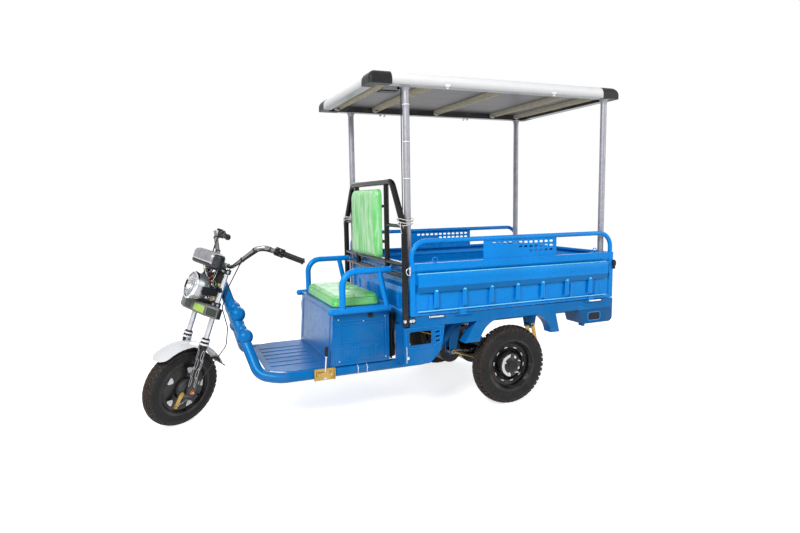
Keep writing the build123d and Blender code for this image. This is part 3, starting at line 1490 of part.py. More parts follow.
with BuildPart() as instrument_cluster:
    with BuildSketch(steer.offset(cluster_low)) as body:
        with Locations((leg_x - crown_reach / 2 - seat_gap - cluster_len / 2, 0)):
            RectangleRounded(cluster_len, cluster_w, cluster_round)
    extrude(body.sketch, amount=cluster_h)
    top = instrument_cluster.faces().sort_by(Axis(steer.origin, steer.z_dir))[-1]
    fillet(top.edges(), cluster_edge)
finish(instrument_cluster, "instrument_cluster")
horn_x = -51.0
horn_y = -50.0
horn_r = 21.0
horn_t = 12.0
horn_z = head_low - knuckle_gap + seat_gap + horn_r
with BuildPart() as horn:
    with BuildSketch(turned(horn_x, horn_y, horn_z, (0, 1, 0), (-1, 0, 0))) as disc:
        Circle(horn_r)
    extrude(disc.sketch, amount=horn_t)
finish(horn, "horn")
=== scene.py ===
"""Looks of an electric cargo tricycle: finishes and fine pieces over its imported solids, laid out as an add-on."""

import json
from math import cos, pi, radians, sin

import bmesh
import bpy
from bpy.props import FloatProperty, FloatVectorProperty, IntProperty, PointerProperty
from bpy.types import Operator, Panel, PropertyGroup
from mathutils import Matrix, Vector, noise


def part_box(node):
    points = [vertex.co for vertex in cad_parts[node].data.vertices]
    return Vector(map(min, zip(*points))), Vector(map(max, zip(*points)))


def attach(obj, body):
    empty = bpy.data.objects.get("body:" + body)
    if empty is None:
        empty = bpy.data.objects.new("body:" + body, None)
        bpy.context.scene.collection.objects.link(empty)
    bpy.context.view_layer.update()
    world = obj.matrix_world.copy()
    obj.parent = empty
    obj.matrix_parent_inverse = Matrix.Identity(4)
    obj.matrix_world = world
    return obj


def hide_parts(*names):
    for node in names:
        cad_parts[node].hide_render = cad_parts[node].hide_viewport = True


bl_info = {
    "name": "Electric Cargo Tricycle",
    "version": (1, 0, 0),
    "blender": (4, 5, 0),
    "location": "View3D > Sidebar > Tricycle",
    "description": "Dresses the packed solids of a cargo tricycle with finishes, treads, cushions and fittings",
    "category": "Object",
}

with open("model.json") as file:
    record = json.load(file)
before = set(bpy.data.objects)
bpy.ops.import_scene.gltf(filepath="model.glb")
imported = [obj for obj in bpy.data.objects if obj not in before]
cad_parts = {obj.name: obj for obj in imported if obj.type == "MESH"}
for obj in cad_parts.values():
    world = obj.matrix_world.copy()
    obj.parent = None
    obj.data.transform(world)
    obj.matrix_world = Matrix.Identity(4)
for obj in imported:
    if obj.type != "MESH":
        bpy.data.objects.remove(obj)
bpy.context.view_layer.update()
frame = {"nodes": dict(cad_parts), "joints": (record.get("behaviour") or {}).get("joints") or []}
JOINTS = {joint["name"]: joint for joint in frame["joints"]}
UP = Vector((0, 0, 1))
RIGHT = Vector((0, 1, 0))
REAR = Vector((1, 0, 0))
SIDES = (-1, 1)
SIDE_NAMES = {-1: "left", 1: "right"}


def aim(origin, out, along=None):
    """A place whose z points out of a surface and whose x lies as near as can be to `along`."""
    z = Vector(out).normalized()
    hint = Vector(along) if along is not None else (REAR if abs(z.x) < 0.8 else UP)
    x = (hint - z * hint.dot(z)).normalized()
    place = Matrix((x, z.cross(x), z)).transposed().to_4x4()
    place.translation = Vector(origin)
    return place


def joint_place(name):
    """The place of a joint: its own axis is z."""
    joint = JOINTS[name]
    return aim(joint["pos_m"], joint["axis"])


def steering_place():
    """The steering head: z up the steering axis, y along the front wheel's axle, x behind the wheel."""
    head, wheel = JOINTS["steering_turn"], JOINTS["front_wheel_spin"]
    z, y = Vector(head["axis"]).normalized(), Vector(wheel["axis"]).normalized()
    place = Matrix((y.cross(z), y, z)).transposed().to_4x4()
    place.translation = Vector(head["pos_m"])
    return place


STEER = steering_place()
WHEELS = {
    "front": ("front_wheel_spin", "front_wheel", "front_tyre", "front_rim"),
    "left": ("rear_wheel_left_spin", "rear_wheel_left", "rear_tyre_left", "rear_rim_left"),
    "right": ("rear_wheel_right_spin", "rear_wheel_right", "rear_tyre_right", "rear_rim_right"),
}


def steer(x, y, z):
    """A point of the steering head's own frame, as a point of the row frame."""
    return STEER @ Vector((x, y, z))


def steer_way(x, y, z):
    """A direction of the steering head's own frame, in the row frame."""
    return STEER.to_3x3() @ Vector((x, y, z))


# ---------------------------------------------------------------- shader building


class Wire:
    """A number that flows between shader nodes and takes part in arithmetic."""

    def __init__(self, finish, socket):
        self.finish, self.socket = finish, socket

    def maths(self, operation, *values):
        return self.finish.add("ShaderNodeMath", {"operation": operation}, dict(enumerate(values)))[0]

    def absolute(self):
        return self.maths("ABSOLUTE", self)

    def wrapped(self, period):
        """The distance to the nearest whole multiple of the period."""
        return self.maths("PINGPONG", self, period / 2)

    def between(self, low, high, at_low=0.0, at_high=1.0):
        """0 to 1 (or any two values) as the number runs from low to high, held at its ends."""
        return self.finish.add("ShaderNodeMapRange", {"clamp": True},
                               dict(enumerate((self, low, high, at_low, at_high))))[0]


def arithmetic(operation, swapped):
    """A method of Wire that adds one maths node."""
    if swapped:
        return lambda self, other: self.maths(operation, other, self)
    return lambda self, other: self.maths(operation, self, other)


for method, operation in (("add", "ADD"), ("sub", "SUBTRACT"), ("mul", "MULTIPLY"), ("truediv", "DIVIDE"),
                          ("pow", "POWER"), ("gt", "GREATER_THAN"), ("lt", "LESS_THAN")):
    setattr(Wire, f"__{method}__", arithmetic(operation, False))
    setattr(Wire, f"__r{method}__", arithmetic(operation, True))


class Tap:
    """A node whose outputs are taken by name or number."""

    def __init__(self, finish, node):
        self.finish, self.node = finish, node

    def __getitem__(self, key):
        return Wire(self.finish, self.node.outputs[key])


class Finish:
    """A material, or a world, under construction."""

    def __init__(self, name, owner=None):
        self.material = owner or bpy.data.materials.new(name)
        self.material.use_nodes = True
        self.tree = self.material.node_tree
        self.tree.nodes.clear()
        self.coordinates = self.add("ShaderNodeTexCoord")["Object"]

    def add(self, kind, settings=None, sockets=None):
        """One node: its settings first, then the values or links of its sockets."""
        node = self.tree.nodes.new(kind)
        for key, value in (settings or {}).items():
            setattr(node, key, value)
        for key, value in (sockets or {}).items():
            if isinstance(value, Wire):
                self.tree.links.new(value.socket, node.inputs[key])
            else:
                node.inputs[key].default_value = value
        return Tap(self, node)

    def axis(self, letter):
        return self.add("ShaderNodeSeparateXYZ", None, {0: self.coordinates})[letter]

    def in_head(self, row):
        """A coordinate of the steering head's frame: 0 rearward, 1 across, 2 up its axis."""
        *way, start = STEER.inverted()[row]
        reach = self.add("ShaderNodeVectorMath", {"operation": "DOT_PRODUCT"}, {0: self.coordinates, 1: tuple(way)})
        return reach["Value"] + start

    def facing(self):
        """How far the surface faces along each axis, before any bump."""
        return self.add("ShaderNodeSeparateXYZ", None, {0: self.add("ShaderNodeTexCoord")["Normal"]})

    def watched(self):
        """1 for what the camera, a mirror or a glass sees, and 0 for what lights other surfaces."""
        path = self.add("ShaderNodeLightPath")
        return (path["Is Camera Ray"] + path["Is Glossy Ray"] + path["Is Transmission Ray"]).between(0, 1)

    def stretched(self, scale, shift=(0, 0, 0)):
        """The object's coordinates, scaled and moved."""
        sockets = {"Vector": self.coordinates, "Scale": scale, "Location": shift}
        return self.add("ShaderNodeMapping", None, sockets)[0]

    def noise(self, scale, detail=3.0, roughness=0.55, vector=None):
        sockets = {"Vector": vector or self.coordinates, "Scale": scale, "Detail": detail, "Roughness": roughness}
        return self.add("ShaderNodeTexNoise", None, sockets)[0]

    def cells(self, scale, output="Distance"):
        return self.add("ShaderNodeTexVoronoi", None, {"Vector": self.coordinates, "Scale": scale})[output]

    def mix(self, factor, first, second):
        """A colour between two colours."""
        return self.add("ShaderNodeMix", {"data_type": "RGBA"}, {0: factor, 6: first, 7: second})[2]

    def rounded(self, radius):
        """The normal with every edge rounded to this radius."""
        return self.add("ShaderNodeBevel", {"samples": 4}, {"Radius": radius})[0]

    def edges(self, radius, low=0.004, high=0.09):
        """1 on edges narrower than the radius and 0 on open faces."""
        plain = self.add("ShaderNodeNewGeometry")["Normal"]
        bent = self.rounded(radius)
        dot = self.add("ShaderNodeVectorMath", {"operation": "DOT_PRODUCT"}, {0: plain, 1: bent})["Value"]
        return (1.0 - dot).between(low, high)

    def bump(self, height, strength, depth, normal=None):
        sockets = {"Height": height, "Strength": strength, "Distance": depth}
        if normal is not None:
            sockets["Normal"] = normal
        return self.add("ShaderNodeBump", None, sockets)[0]

    def done(self, **sockets):
        """Closes the material with a Principled shader; an underscore in a name stands for a space."""
        named = {key.replace("_", " "): value for key, value in sockets.items()}
        shader = self.add("ShaderNodeBsdfPrincipled", None, named)
        return self.shown(shader[0])

    def shown(self, shader):
        self.add("ShaderNodeOutputMaterial", None, {"Surface": shader})
        return self.material


def shade(colour, factor):
    """A colour made lighter or darker, with alpha."""
    return tuple(min(1.0, part * factor) for part in colour[:3]) + (1.0,)


def solid(colour):
    return tuple(colour[:3]) + (1.0,)


def enamel(name, colour, roughness=0.3, coat=0.0, peel=0.35, grime=0.25, sheen=0.3, tint=(1, 1, 1, 1)):
    """Sprayed gloss paint: orange peel, slight drift of tone, a painted highlight on thin edges and a little dust low
    down.
    """
    f = Finish(name)
    drift = f.noise(2.2, 2.0)
    base = f.mix(drift.between(0.3, 0.7), shade(colour, 0.9), shade(colour, 1.12))
    # painted highlight: thin edges take a lighter copy of the colour
    base = f.mix(f.edges(0.0022) * 0.35, base, shade([part + 0.05 for part in colour[:3]], 1.5))
    dust = f.noise(9.0, 5.0).between(0.45, 0.75) * f.axis("Z").between(0.1, 0.75, grime, 0.0)
    base = f.mix(dust, base, (0.24, 0.22, 0.19, 1))
    fine = f.noise(420.0, 1.0)
    gloss = f.noise(26.0, 4.0).between(0.2, 0.8, roughness * 0.8, roughness * 1.4) + dust * 0.4
    normal = f.bump(fine, peel * 0.12, 0.001, f.rounded(0.0016))
    return f.done(Base_Color=base, Roughness=gloss, Coat_Weight=coat, Coat_Roughness=0.06, Specular_IOR_Level=sheen,
                  Specular_Tint=tint, Normal=normal)


def plated(name, colour, roughness=0.3, mottle=0.25, spangle=90.0, metal=0.95):
    """Plated or galvanised steel: spangles, smears, and darker stains in the low-lying grain."""
    f = Finish(name)
    flakes = f.cells(spangle, output="Color")
    tone = f.add("ShaderNodeSeparateColor", None, {0: flakes})[0]
    cloud = f.noise(14.0, 5.0)
    base = f.mix(tone * mottle, shade(colour, 1.0), shade(colour, 0.55))
    base = f.mix(cloud.between(0.55, 0.8, 0.0, mottle), base, shade(colour, 0.4))
    gloss = cloud.between(0.3, 0.7, roughness * 0.8, roughness * 1.5) + tone * (mottle * 0.15)
    normal = f.bump(f.noise(160.0, 3.0), 0.06, 0.001, f.rounded(0.001))
    return f.done(Base_Color=base, Roughness=gloss, Metallic=metal, Normal=normal)


def moulded(name, colour, roughness=0.45, grain=260.0, depth=0.2):
    """Moulded plastic: fine spark grain, rounded edges with a painted highlight, and faint scuffs."""
    f = Finish(name)
    scuff = f.noise(38.0, 6.0, 0.7)
    base = f.mix(scuff.between(0.5, 0.8, 0.0, 0.35), solid(colour), shade([part + 0.03 for part in colour[:3]], 1.35))
    # painted highlight: edges take a lighter copy of the colour
    base = f.mix(f.edges(0.0016) * 0.3, base, shade([part + 0.04 for part in colour[:3]], 1.6))
    gloss = scuff.between(0.3, 0.7, roughness * 0.85, roughness * 1.2)
    normal = f.bump(f.cells(grain), depth * 0.35, 0.0006, f.rounded(0.0012))
    return f.done(Base_Color=base, Roughness=gloss, Specular_IOR_Level=0.2, Normal=normal)


def rubber(name, colour, wear=(0.2, 0.135, 0.095)):
    """Tyre rubber: brown road dust on the raised tread, matt bloom on the walls."""
    f = Finish(name)
    cloud = f.noise(22.0, 6.0, 0.65)
    base = f.mix(cloud.between(0.35, 0.75), solid(colour), shade([part + 0.012 for part in colour[:3]], 1.5))
    base = f.mix(f.edges(0.0026, 0.01, 0.16), base, solid(wear))
    gloss = cloud.between(0.3, 0.75, 0.5, 0.8)
    normal = f.bump(f.noise(240.0, 3.0), 0.15, 0.0008)
    return f.done(Base_Color=base, Roughness=gloss, Specular_IOR_Level=0.2, Normal=normal)


def filmed_vinyl(name, colour, fold_scale, face):
    """Grained vinyl under a loose clear film, with a painted highlight on the film's folds, stronger on faces along
    the given axis.
    """
    f = Finish(name)
    folds = f.noise(1.0, 4.0, 0.6, f.stretched(fold_scale))
    crests = f.noise(1.0, 2.0, 0.5, f.stretched([part * 0.55 for part in fold_scale], shift=(3, 1, 2)))
    # painted highlight: pale green on the folds' crests, stronger on faces along the given axis
    highlight_facing = f.facing()[face].absolute().between(0.35, 0.8, 0.22, 1.0)
    fold_highlight = (folds.between(0.45, 0.68) * 0.55 + crests.between(0.42, 0.62) * 0.4) * highlight_facing
    base = f.mix(fold_highlight, solid(colour), (0.66, 0.85, 0.62, 1))
    stains = f.noise(1.0, 3.0, 0.6, f.stretched([part * 1.4 for part in fold_scale])).between(0.62, 0.72, 0.0, 0.25)
    base = f.mix(stains, base, (0.36, 0.44, 0.22, 1))
    grain = f.bump(f.cells(520.0), 0.12, 0.0006)
    normal = f.bump(folds + crests * 1.4, 0.32, 0.006, grain)
    return f.done(Base_Color=base, Roughness=0.34, Normal=normal, Coat_Weight=0.3, Coat_Roughness=0.14)


def glassy(name, colour, prisms=0.0, roughness=0.04, through=0.85):
    """Clear or tinted lens, with moulded prisms behind its face where asked."""
    f = Finish(name)
    normal = f.bump(f.cells(prisms), 0.5, 0.002) if prisms else f.bump(f.noise(60.0, 2.0), 0.02, 0.001)
    tint = f.mix(f.noise(30.0, 2.0).between(0.3, 0.7), solid(colour), shade(colour, 0.85))
    return f.done(Base_Color=tint, Roughness=roughness, IOR=1.5, Transmission_Weight=through, Normal=normal)


def bright(name, colour):
    """Polished chrome with faint smears."""
    f = Finish(name)
    smear = f.noise(18.0, 5.0, 0.6)
    base = f.mix(smear.between(0.4, 0.75), solid(colour), shade(colour, 0.82))
    normal = f.bump(f.noise(45.0, 3.0), 0.03, 0.001, f.rounded(0.001))
    return f.done(Base_Color=base, Roughness=smear.between(0.3, 0.8, 0.08, 0.192), Metallic=1.0, Normal=normal)


# ---------------------------------------------------------------- mesh building


def rounded_outline(width, height, radius, steps=4):
    """A rectangle with round corners about the origin, anticlockwise."""
    points = []
    for quarter, (sx, sy) in enumerate(((1, 1), (-1, 1), (-1, -1), (1, -1))):
        for step in range(steps + 1):
            angle = pi / 2 * (quarter + step / steps)
            points.append((sx * (width / 2 - radius) + radius * cos(angle),
                           sy * (height / 2 - radius) + radius * sin(angle)))
    return points


def curve_through(points, steps):
    """Points of a smooth line through the given ones (Catmull-Rom)."""
    ends = [points[0], *points, points[-1]]
    out = []
    for a, b, c, d in zip(ends, ends[1:], ends[2:], ends[3:]):
        for step in range(steps):
            t = step / steps
            out.append(tuple(0.5 * (2 * q + (r - p) * t + (2 * p - 5 * q + 4 * r - s) * t * t
                                    + (3 * q - p - 3 * r + s) * t ** 3) for p, q, r, s in zip(a, b, c, d)))
    return [*out, tuple(points[-1])]


class Form:
    """One mesh in the making, in metres and in the row frame, which its operator closes as a piece."""

    open, riding_on = [], "chassis"

    def __init__(self, name, finish, bevel=0.0, body=None, slot=None, sharp=38.0, stands_for=None):
        self.bm = bmesh.new()
        self.name, self.finish, self.bevel, self.sharp = name, finish, bevel, sharp
        self.body, self.slot, self.stands_for = body, slot, stands_for
        self.open.append(self)

    def row(self, points, place=None):
        return [self.bm.verts.new(place @ Vector(p) if place else p) for p in points]

    def skin(self, rows, around=True):
        """Faces between each row and the next."""
        for low, high in zip(rows, rows[1:]):
            count = len(low)
            for i in range(count if around else count - 1):
                j = (i + 1) % count
                corners = list(dict.fromkeys((low[i], low[j], high[j], high[i])))
                if len(corners) > 2:
                    self.bm.faces.new(corners)

    def lathe(self, profile, place, steps):
        """A profile of (radius, height) turned about the place's z axis."""
        rows = []
        for r, h in profile:
            if r < 1e-6:
                rows.append(self.row([(0, 0, h)], place) * steps)
            else:
                rows.append(self.row([(r * cos(a), r * sin(a), h) for a in circle(steps)], place))
        self.skin(rows)

    def rod(self, start, end, radius):
        """A round bar between two points, with its ends eased."""
        start, end = Vector(start), Vector(end)
        length, ease = (end - start).length, radius * 0.15
        profile = [(0, 0), (radius - ease, 0), (radius, ease), (radius, length - ease), (radius - ease, length),
                   (0, length)]
        self.lathe(profile, aim(start, end - start), 16)

    def loft(self, rows):
        """A closed skin over rows, with a flat face at each end."""
        self.skin(rows)
        self.bm.faces.new(rows[0][::-1])
        self.bm.faces.new(rows[-1])

    def prism(self, outline, low, high, place):
        """An outline in the place's xy plane, drawn out from low to high."""
        self.loft([self.row([(x, y, z) for x, y in outline], place) for z in (low, high)])

    def plate(self, place, width, height, radius, low, high):
        """A plate with round corners on a place, in millimetres."""
        self.prism(mm(rounded_outline(width, height, radius)), low / 1000, high / 1000, place)

    def turned(self, place, profile, steps=40):
        """A turned piece, with its profile in millimetres."""
        self.lathe(mm(profile), place, steps)

    def block(self, low, high):
        """A box between two corners."""
        (x0, y0, z0), (x1, y1, z1) = low, high
        outline = [(x0, y0), (x1, y0), (x1, y1), (x0, y1)]
        self.prism(outline, z0, z1, Matrix.Identity(4))

    def bolt(self, place, across=0.013, high=0.0055, washer=0.0015, end=0.0):
        """A hexagon head on a washer, with the thread's end proud of it where asked."""
        r = across / 1.732
        if washer:
            self.lathe([(0, 0), (r * 1.35, 0), (r * 1.35, washer), (0, washer)], place, 20)
        top = washer + high
        self.lathe([(0, washer), (r, washer), (r, top - high * 0.15), (r * 0.86, top), (0, top)], place, 6)
        if end:
            self.lathe([(0, top), (r * 0.55, top), (r * 0.55, top + end * 0.8), (r * 0.45, top + end),
                        (0, top + end)], place, 12)

    def dome(self, place, radius, high):
        """A round rivet or screw head."""
        arc = [(radius * cos(a), high * sin(a)) for a in (0, 0.4, 0.8, 1.2)]
        self.lathe([(0, 0), *arc, (0, high)], place, 14)

    def close(self):
        """Turns the form into an object that rides on its body."""
        bmesh.ops.recalc_face_normals(self.bm, faces=self.bm.faces)
        mesh = bpy.data.meshes.new(self.name)
        self.bm.to_mesh(mesh)
        self.bm.free()
        mesh.shade_smooth()
        mesh.set_sharp_from_angle(angle=radians(self.sharp))
        piece = shown(self.name, mesh, self.finish, self.body)
        if self.bevel:
            edge = piece.modifiers.new("rounding", "BEVEL")
            edge.width, edge.segments, edge.limit_method, edge.angle_limit = self.bevel, 2, "ANGLE", radians(35)
        if self.stands_for:
            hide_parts(self.stands_for)


def shown(name, data, finish, body=None):
    """Links mesh or curve data as a piece of the tricycle, in the material slot that its finish belongs to."""
    data.materials.append(FINISHES[finish])
    piece = bpy.data.objects.new(name, data)
    bpy.context.scene.collection.objects.link(piece)
    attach(piece, body or Form.riding_on)
    return piece


def wires(name, runs, thickness, finish, body=None):
    """Thin wires, each a smooth spline through its own control points, with their thickness in millimetres."""
    data = bpy.data.curves.new(name, "CURVE")
    data.dimensions, data.bevel_depth, data.bevel_resolution = "3D", thickness / 2000, 2
    data.resolution_u, data.use_fill_caps = 6, True
    for run in runs:
        spline = data.splines.new("NURBS")
        spline.points.add(len(run) - 1)
        for point, place in zip(spline.points, run):
            point.co = (*place, 1.0)
        spline.order_u, spline.use_endpoint_u = 3, True
    shown(name, data, finish, body)


def mm(points):
    """Millimetres as metres."""
    return [tuple(part / 1000 for part in point) for point in points]


def circle(steps, start=0.0):
    """Angles round a circle."""
    return [start + 2 * pi * i / steps for i in range(steps)]


FINISHES = {}


# ---------------------------------------------------------------- sizes and colours


def length(name, description, value):
    return FloatProperty(name=name, description=description, default=value, min=0.0, subtype="DISTANCE",
                         unit="LENGTH")


def colour(name, description, value):
    return FloatVectorProperty(name=name, description=description, default=value, size=3, min=0.0, max=1.0,
                               subtype="COLOR")


class TricycleSizes(PropertyGroup):
    """Sizes of the pieces that this script adds."""

    front_tyre: length("Front tyre", "Diameter over the front tread", 0.462)
    front_width: length("Front tyre width", "Width of the front tyre", 0.078)
    rim_seat: length("Rim seat", "Diameter of the rims where the tyres sit", 0.304)
    rear_groove: length("Rear groove", "Depth of the rear tread", 0.0085)
    front_groove: length("Front groove", "Depth of the front tread", 0.0065)
    rear_pitches: IntProperty(name="Rear blocks", description="Tread blocks round a rear tyre", default=46, min=12)
    front_pitches: IntProperty(name="Front blocks", description="Tread blocks round the front tyre", default=42,
                               min=12)
    cushion_voxel: length("Cushion voxel", "Grid that the cushions are remeshed on before they are blown up", 0.0055)
    cushion_rise: length("Cushion rise", "How far a point of a cushion may move as it is blown up", 0.012)


class TricycleColours(PropertyGroup):
    """Colours of the finishes."""

    paint: colour("Paint", "Sprayed body panels and frame", (0.0, 0.21, 0.66))
    trim: colour("Trim", "Black enamel of the backrest, springs and wheels", (0.006, 0.0055, 0.006))
    vinyl: colour("Vinyl", "Seat covers under their clear film", (0.1, 0.56, 0.12))
    tyre: colour("Tyre", "Tyre rubber", (0.006, 0.0055, 0.006))
    post: colour("Posts", "Galvanised canopy posts", (0.33, 0.33, 0.37))
    edge: colour("Canopy edge", "White canopy edges", (0.72, 0.73, 0.74))
    brass: colour("Zinc yellow", "Yellow passivated brackets and shackles", (0.5, 0.33, 0.09))
    housing: colour("Housings", "Grey moulded housings at the head", (0.16, 0.155, 0.16))


def sizes():
    return bpy.context.scene.tricycle_sizes


def colours():
    return bpy.context.scene.tricycle_colours


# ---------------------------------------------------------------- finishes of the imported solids


NODE_FINISHES = {
    "paint": ("armrests", "side_gate_left", "side_gate_right", "tailgate", "front_wall"),
    # painted shade: these parts take a darker copy of the same blue paint
    "deep_paint": ("frame", "seat_box", "seat_lid", "bed_frame", "arch_brackets", "step_boxes"),
    # painted shade: the rear corner boxes take a still darker copy of the blue paint
    "dark_paint": ("rear_corner_boxes",),
    "floor": ("floor_pan", "bed_floor"),
    "trim": ("backrest_frame", "rear_axle", "leaf_springs", "rear_rim_left", "rear_rim_right", "fork_legs",
             "front_rim"),
    "plastic": ("battery", "canopy_corners", "hand_controls"),
    "handlebar": ("handlebar",),
    "grip": ("grips",),
    "brass": ("spring_shackles", "parking_brake", "axle_rods"),
    "cast": ("motor",),
    "hub": ("front_brake",),
    "post": ("canopy_posts",),
    "edge": ("canopy_edges",),
    "channel": ("canopy_ribs",),
    "panel": ("solar_panel",),
    "silver": ("front_fender",),
    "fork": ("fork",),
    "bowl": ("headlight",),
    "lens": ("headlight_lens",),
    "red_lens": ("rear_lamps",),
    "housing": ("indicator_unit",),
    "cluster": ("instrument_cluster",),
    "horn": ("horn",),
    "cable": ("front_brake_cable",),
}


def solar_panel_finish():
    """Dark cells under glass above; below, a pale back sheet painted mid grey as painted shade, with the cells'
    ghost; near-black painted shade on the lowest under faces; and metal edges.
    """
    f = Finish("solar_panel")
    facing = f.facing()["Z"]
    pitch, gap = 0.1568, 0.0016
    along, across = f.axis("X") + 0.1795, f.axis("Y")
    lines = (along.wrapped(pitch) < gap) + (across.wrapped(pitch) < gap)
    fingers = (across + 0.02).wrapped(pitch / 3) < 0.0009
    lines = lines.between(0.0, 1.0)
    cloud = f.noise(7.0, 4.0)
    cell = f.mix(cloud.between(0.3, 0.7), (0.006, 0.009, 0.028, 1), (0.012, 0.017, 0.045, 1))
    top = f.mix(fingers, cell, (0.28, 0.3, 0.34, 1))
    top = f.mix(lines, top, (0.55, 0.57, 0.6, 1))
    # painted shade: the pale back sheet is painted mid grey
    sheet = f.mix(cloud.between(0.35, 0.7), (0.12, 0.112, 0.108, 1), (0.17, 0.16, 0.155, 1))
    below = f.mix(lines, f.mix(fingers * 0.5, sheet, (0.16, 0.155, 0.15, 1)), (0.09, 0.085, 0.085, 1))
    edge = f.mix(cloud.between(0.4, 0.7), (0.6, 0.62, 0.64, 1), (0.5, 0.52, 0.54, 1))
    above, under = facing > 0.5, facing < -0.5
    base = f.mix(under, f.mix(above, edge, top), below)
    # painted shade: under faces below z 1.9149 are painted near-black
    base = f.mix((f.axis("Z") < 1.9149) * under, base, (0.018, 0.018, 0.02, 1))
    gloss = above * -0.1 + 0.36 + cloud * 0.08
    return f.done(Base_Color=base, Roughness=gloss, Specular_IOR_Level=0.2, Coat_Weight=above * 0.15,
                  Normal=f.rounded(0.001))


def floor_finish(paint):
    """Painted sheet that is trodden on: scuffs across the paint and dust in the low parts."""
    f = Finish("floor_paint")
    scuff = f.noise(1.0, 6.0, 0.7, f.stretched((18, 60, 18)))
    dust = f.noise(5.0, 6.0, 0.7).between(0.42, 0.72)
    base = f.mix(scuff.between(0.56, 0.7, 0.0, 0.5), solid(paint), shade([part + 0.06 for part in paint[:3]], 1.4))
    base = f.mix(dust * 0.3, base, (0.2, 0.19, 0.17, 1))
    # painted highlight: edges take a lighter copy of the paint
    base = f.mix(f.edges(0.002) * 0.4, base, shade([part + 0.05 for part in paint[:3]], 1.5))
    normal = f.bump(f.noise(300.0, 2.0), 0.06, 0.001, f.rounded(0.0016))
    return f.done(Base_Color=base, Roughness=scuff.between(0.35, 0.75, 0.25, 0.5) + dust * 0.15,
                  Specular_IOR_Level=0.25, Specular_Tint=(0.4, 0.85, 1.0, 1.0), Normal=normal)


def grip_finish():
    """Ribbed rubber: fine rings round the grip."""
    f = Finish("grip_rubber")
    rings = f.noise(320.0, 1.0)
    base = f.mix(f.noise(30.0, 4.0).between(0.4, 0.7), (0.012, 0.012, 0.012, 1), (0.03, 0.03, 0.03, 1))
    return f.done(Base_Color=base, Roughness=0.62, Normal=f.bump(rings, 0.4, 0.001, f.rounded(0.0015)))


def rear_lamp_finish():
    """Red lens with rows of square prisms and an amber end."""
    f = Finish("red_lamp_lens")
    sections = f.axis("Y").absolute().between(0.3, 0.52)
    tint = f.mix(sections > 0.8, (0.55, 0.012, 0.008, 1), (0.85, 0.28, 0.01, 1))
    rows = f.axis("Y").wrapped(0.006) + f.axis("Z").wrapped(0.006)
    return f.done(Base_Color=tint, Roughness=0.08, IOR=1.5, Coat_Weight=1.0, Normal=f.bump(rows * 160.0, 0.5, 0.001),
                  Transmission_Weight=0.25)


def cluster_finish():
    """Silver shell over a dark tray, with a pale strip between them, thin seams and a black left end."""
    f = Finish("cluster_shell")
    up, across = f.in_head(2), f.in_head(1)
    cloud = f.noise(30.0, 4.0)
    base = f.mix(cloud.between(0.35, 0.7), (0.27, 0.27, 0.29, 1), (0.2, 0.2, 0.22, 1))
    seams = ((across + 0.034).absolute() < 0.0007) + ((across - 0.030).absolute() < 0.0007)
    base = f.mix(seams, base, (0.05, 0.05, 0.055, 1))
    base = f.mix((up < 0.1708) * (up > 0.1655), base, (0.6, 0.61, 0.62, 1))
    dark = (up < 0.1655) + (across < -0.079) * (up < 0.2205) + (up > 0.2262)
    base = f.mix(dark.between(0.0, 1.0), base, (0.016, 0.016, 0.018, 1))
    normal = f.bump(f.cells(500.0), 0.03, 0.0006, f.rounded(0.0015))
    return f.done(Base_Color=base, Roughness=cloud.between(0.3, 0.7, 0.28, 0.4), Metallic=0.2, Normal=normal,
                  Coat_Weight=0.2)


def fork_finish():
    """Satin hard chrome on the stanchions, black enamel on the crowns and between them."""
    f = Finish("fork_tubes")
    up, across = f.in_head(2), f.in_head(1)
    ahead = f.in_head(0) + 0.035
    beside = across.absolute() - 0.079
    off = ahead * ahead + beside * beside > 0.000289
    black = ((up > -0.071) * (up < -0.043) + (up > 0.125) * (up < 0.1525) + off).between(0.0, 1.0)
    cloud = f.noise(30.0, 4.0)
    base = f.mix(black, f.mix(cloud.between(0.35, 0.7), (0.62, 0.62, 0.64, 1), (0.5, 0.5, 0.52, 1)),
                 (0.01, 0.01, 0.01, 1))
    return f.done(Base_Color=base, Roughness=cloud.between(0.3, 0.7, 0.24, 0.36), Metallic=0.8 - black * 0.8,
                  Specular_IOR_Level=0.3, Normal=f.bump(cloud, 0.03, 0.001, f.rounded(0.001)))


def canopy_edge_finish(colour):
    """White enamel with painted shade: darker towards its lower rim and near-black on its inward faces, with patches
    of grey dust.
    """
    f = Finish("white_canopy_edge")
    low = f.axis("Z").between(1.882, 1.915)
    facing = f.facing()
    inward = (facing["Y"] * f.axis("Y") < -0.1) + (facing["X"] * (f.axis("X") - 0.6) < -0.2)
    # painted shade: towards the lower rim the colour falls to half
    base = f.mix(low ** 0.7, shade(colour, 0.5), solid(colour))
    # painted shade: faces that look inward, under the canopy, are painted near-black
    base = f.mix(inward.between(0.0, 1.0) * 0.94, base, (0.012, 0.011, 0.013, 1))
    base = f.mix(f.noise(12.0, 5.0).between(0.5, 0.8, 0.0, 0.2), base, shade(colour, 0.7))
    normal = f.bump(f.noise(400.0, 2.0), 0.03, 0.001, f.rounded(0.002))
    return f.done(Base_Color=base, Roughness=0.34, Specular_IOR_Level=0.3, Normal=normal)


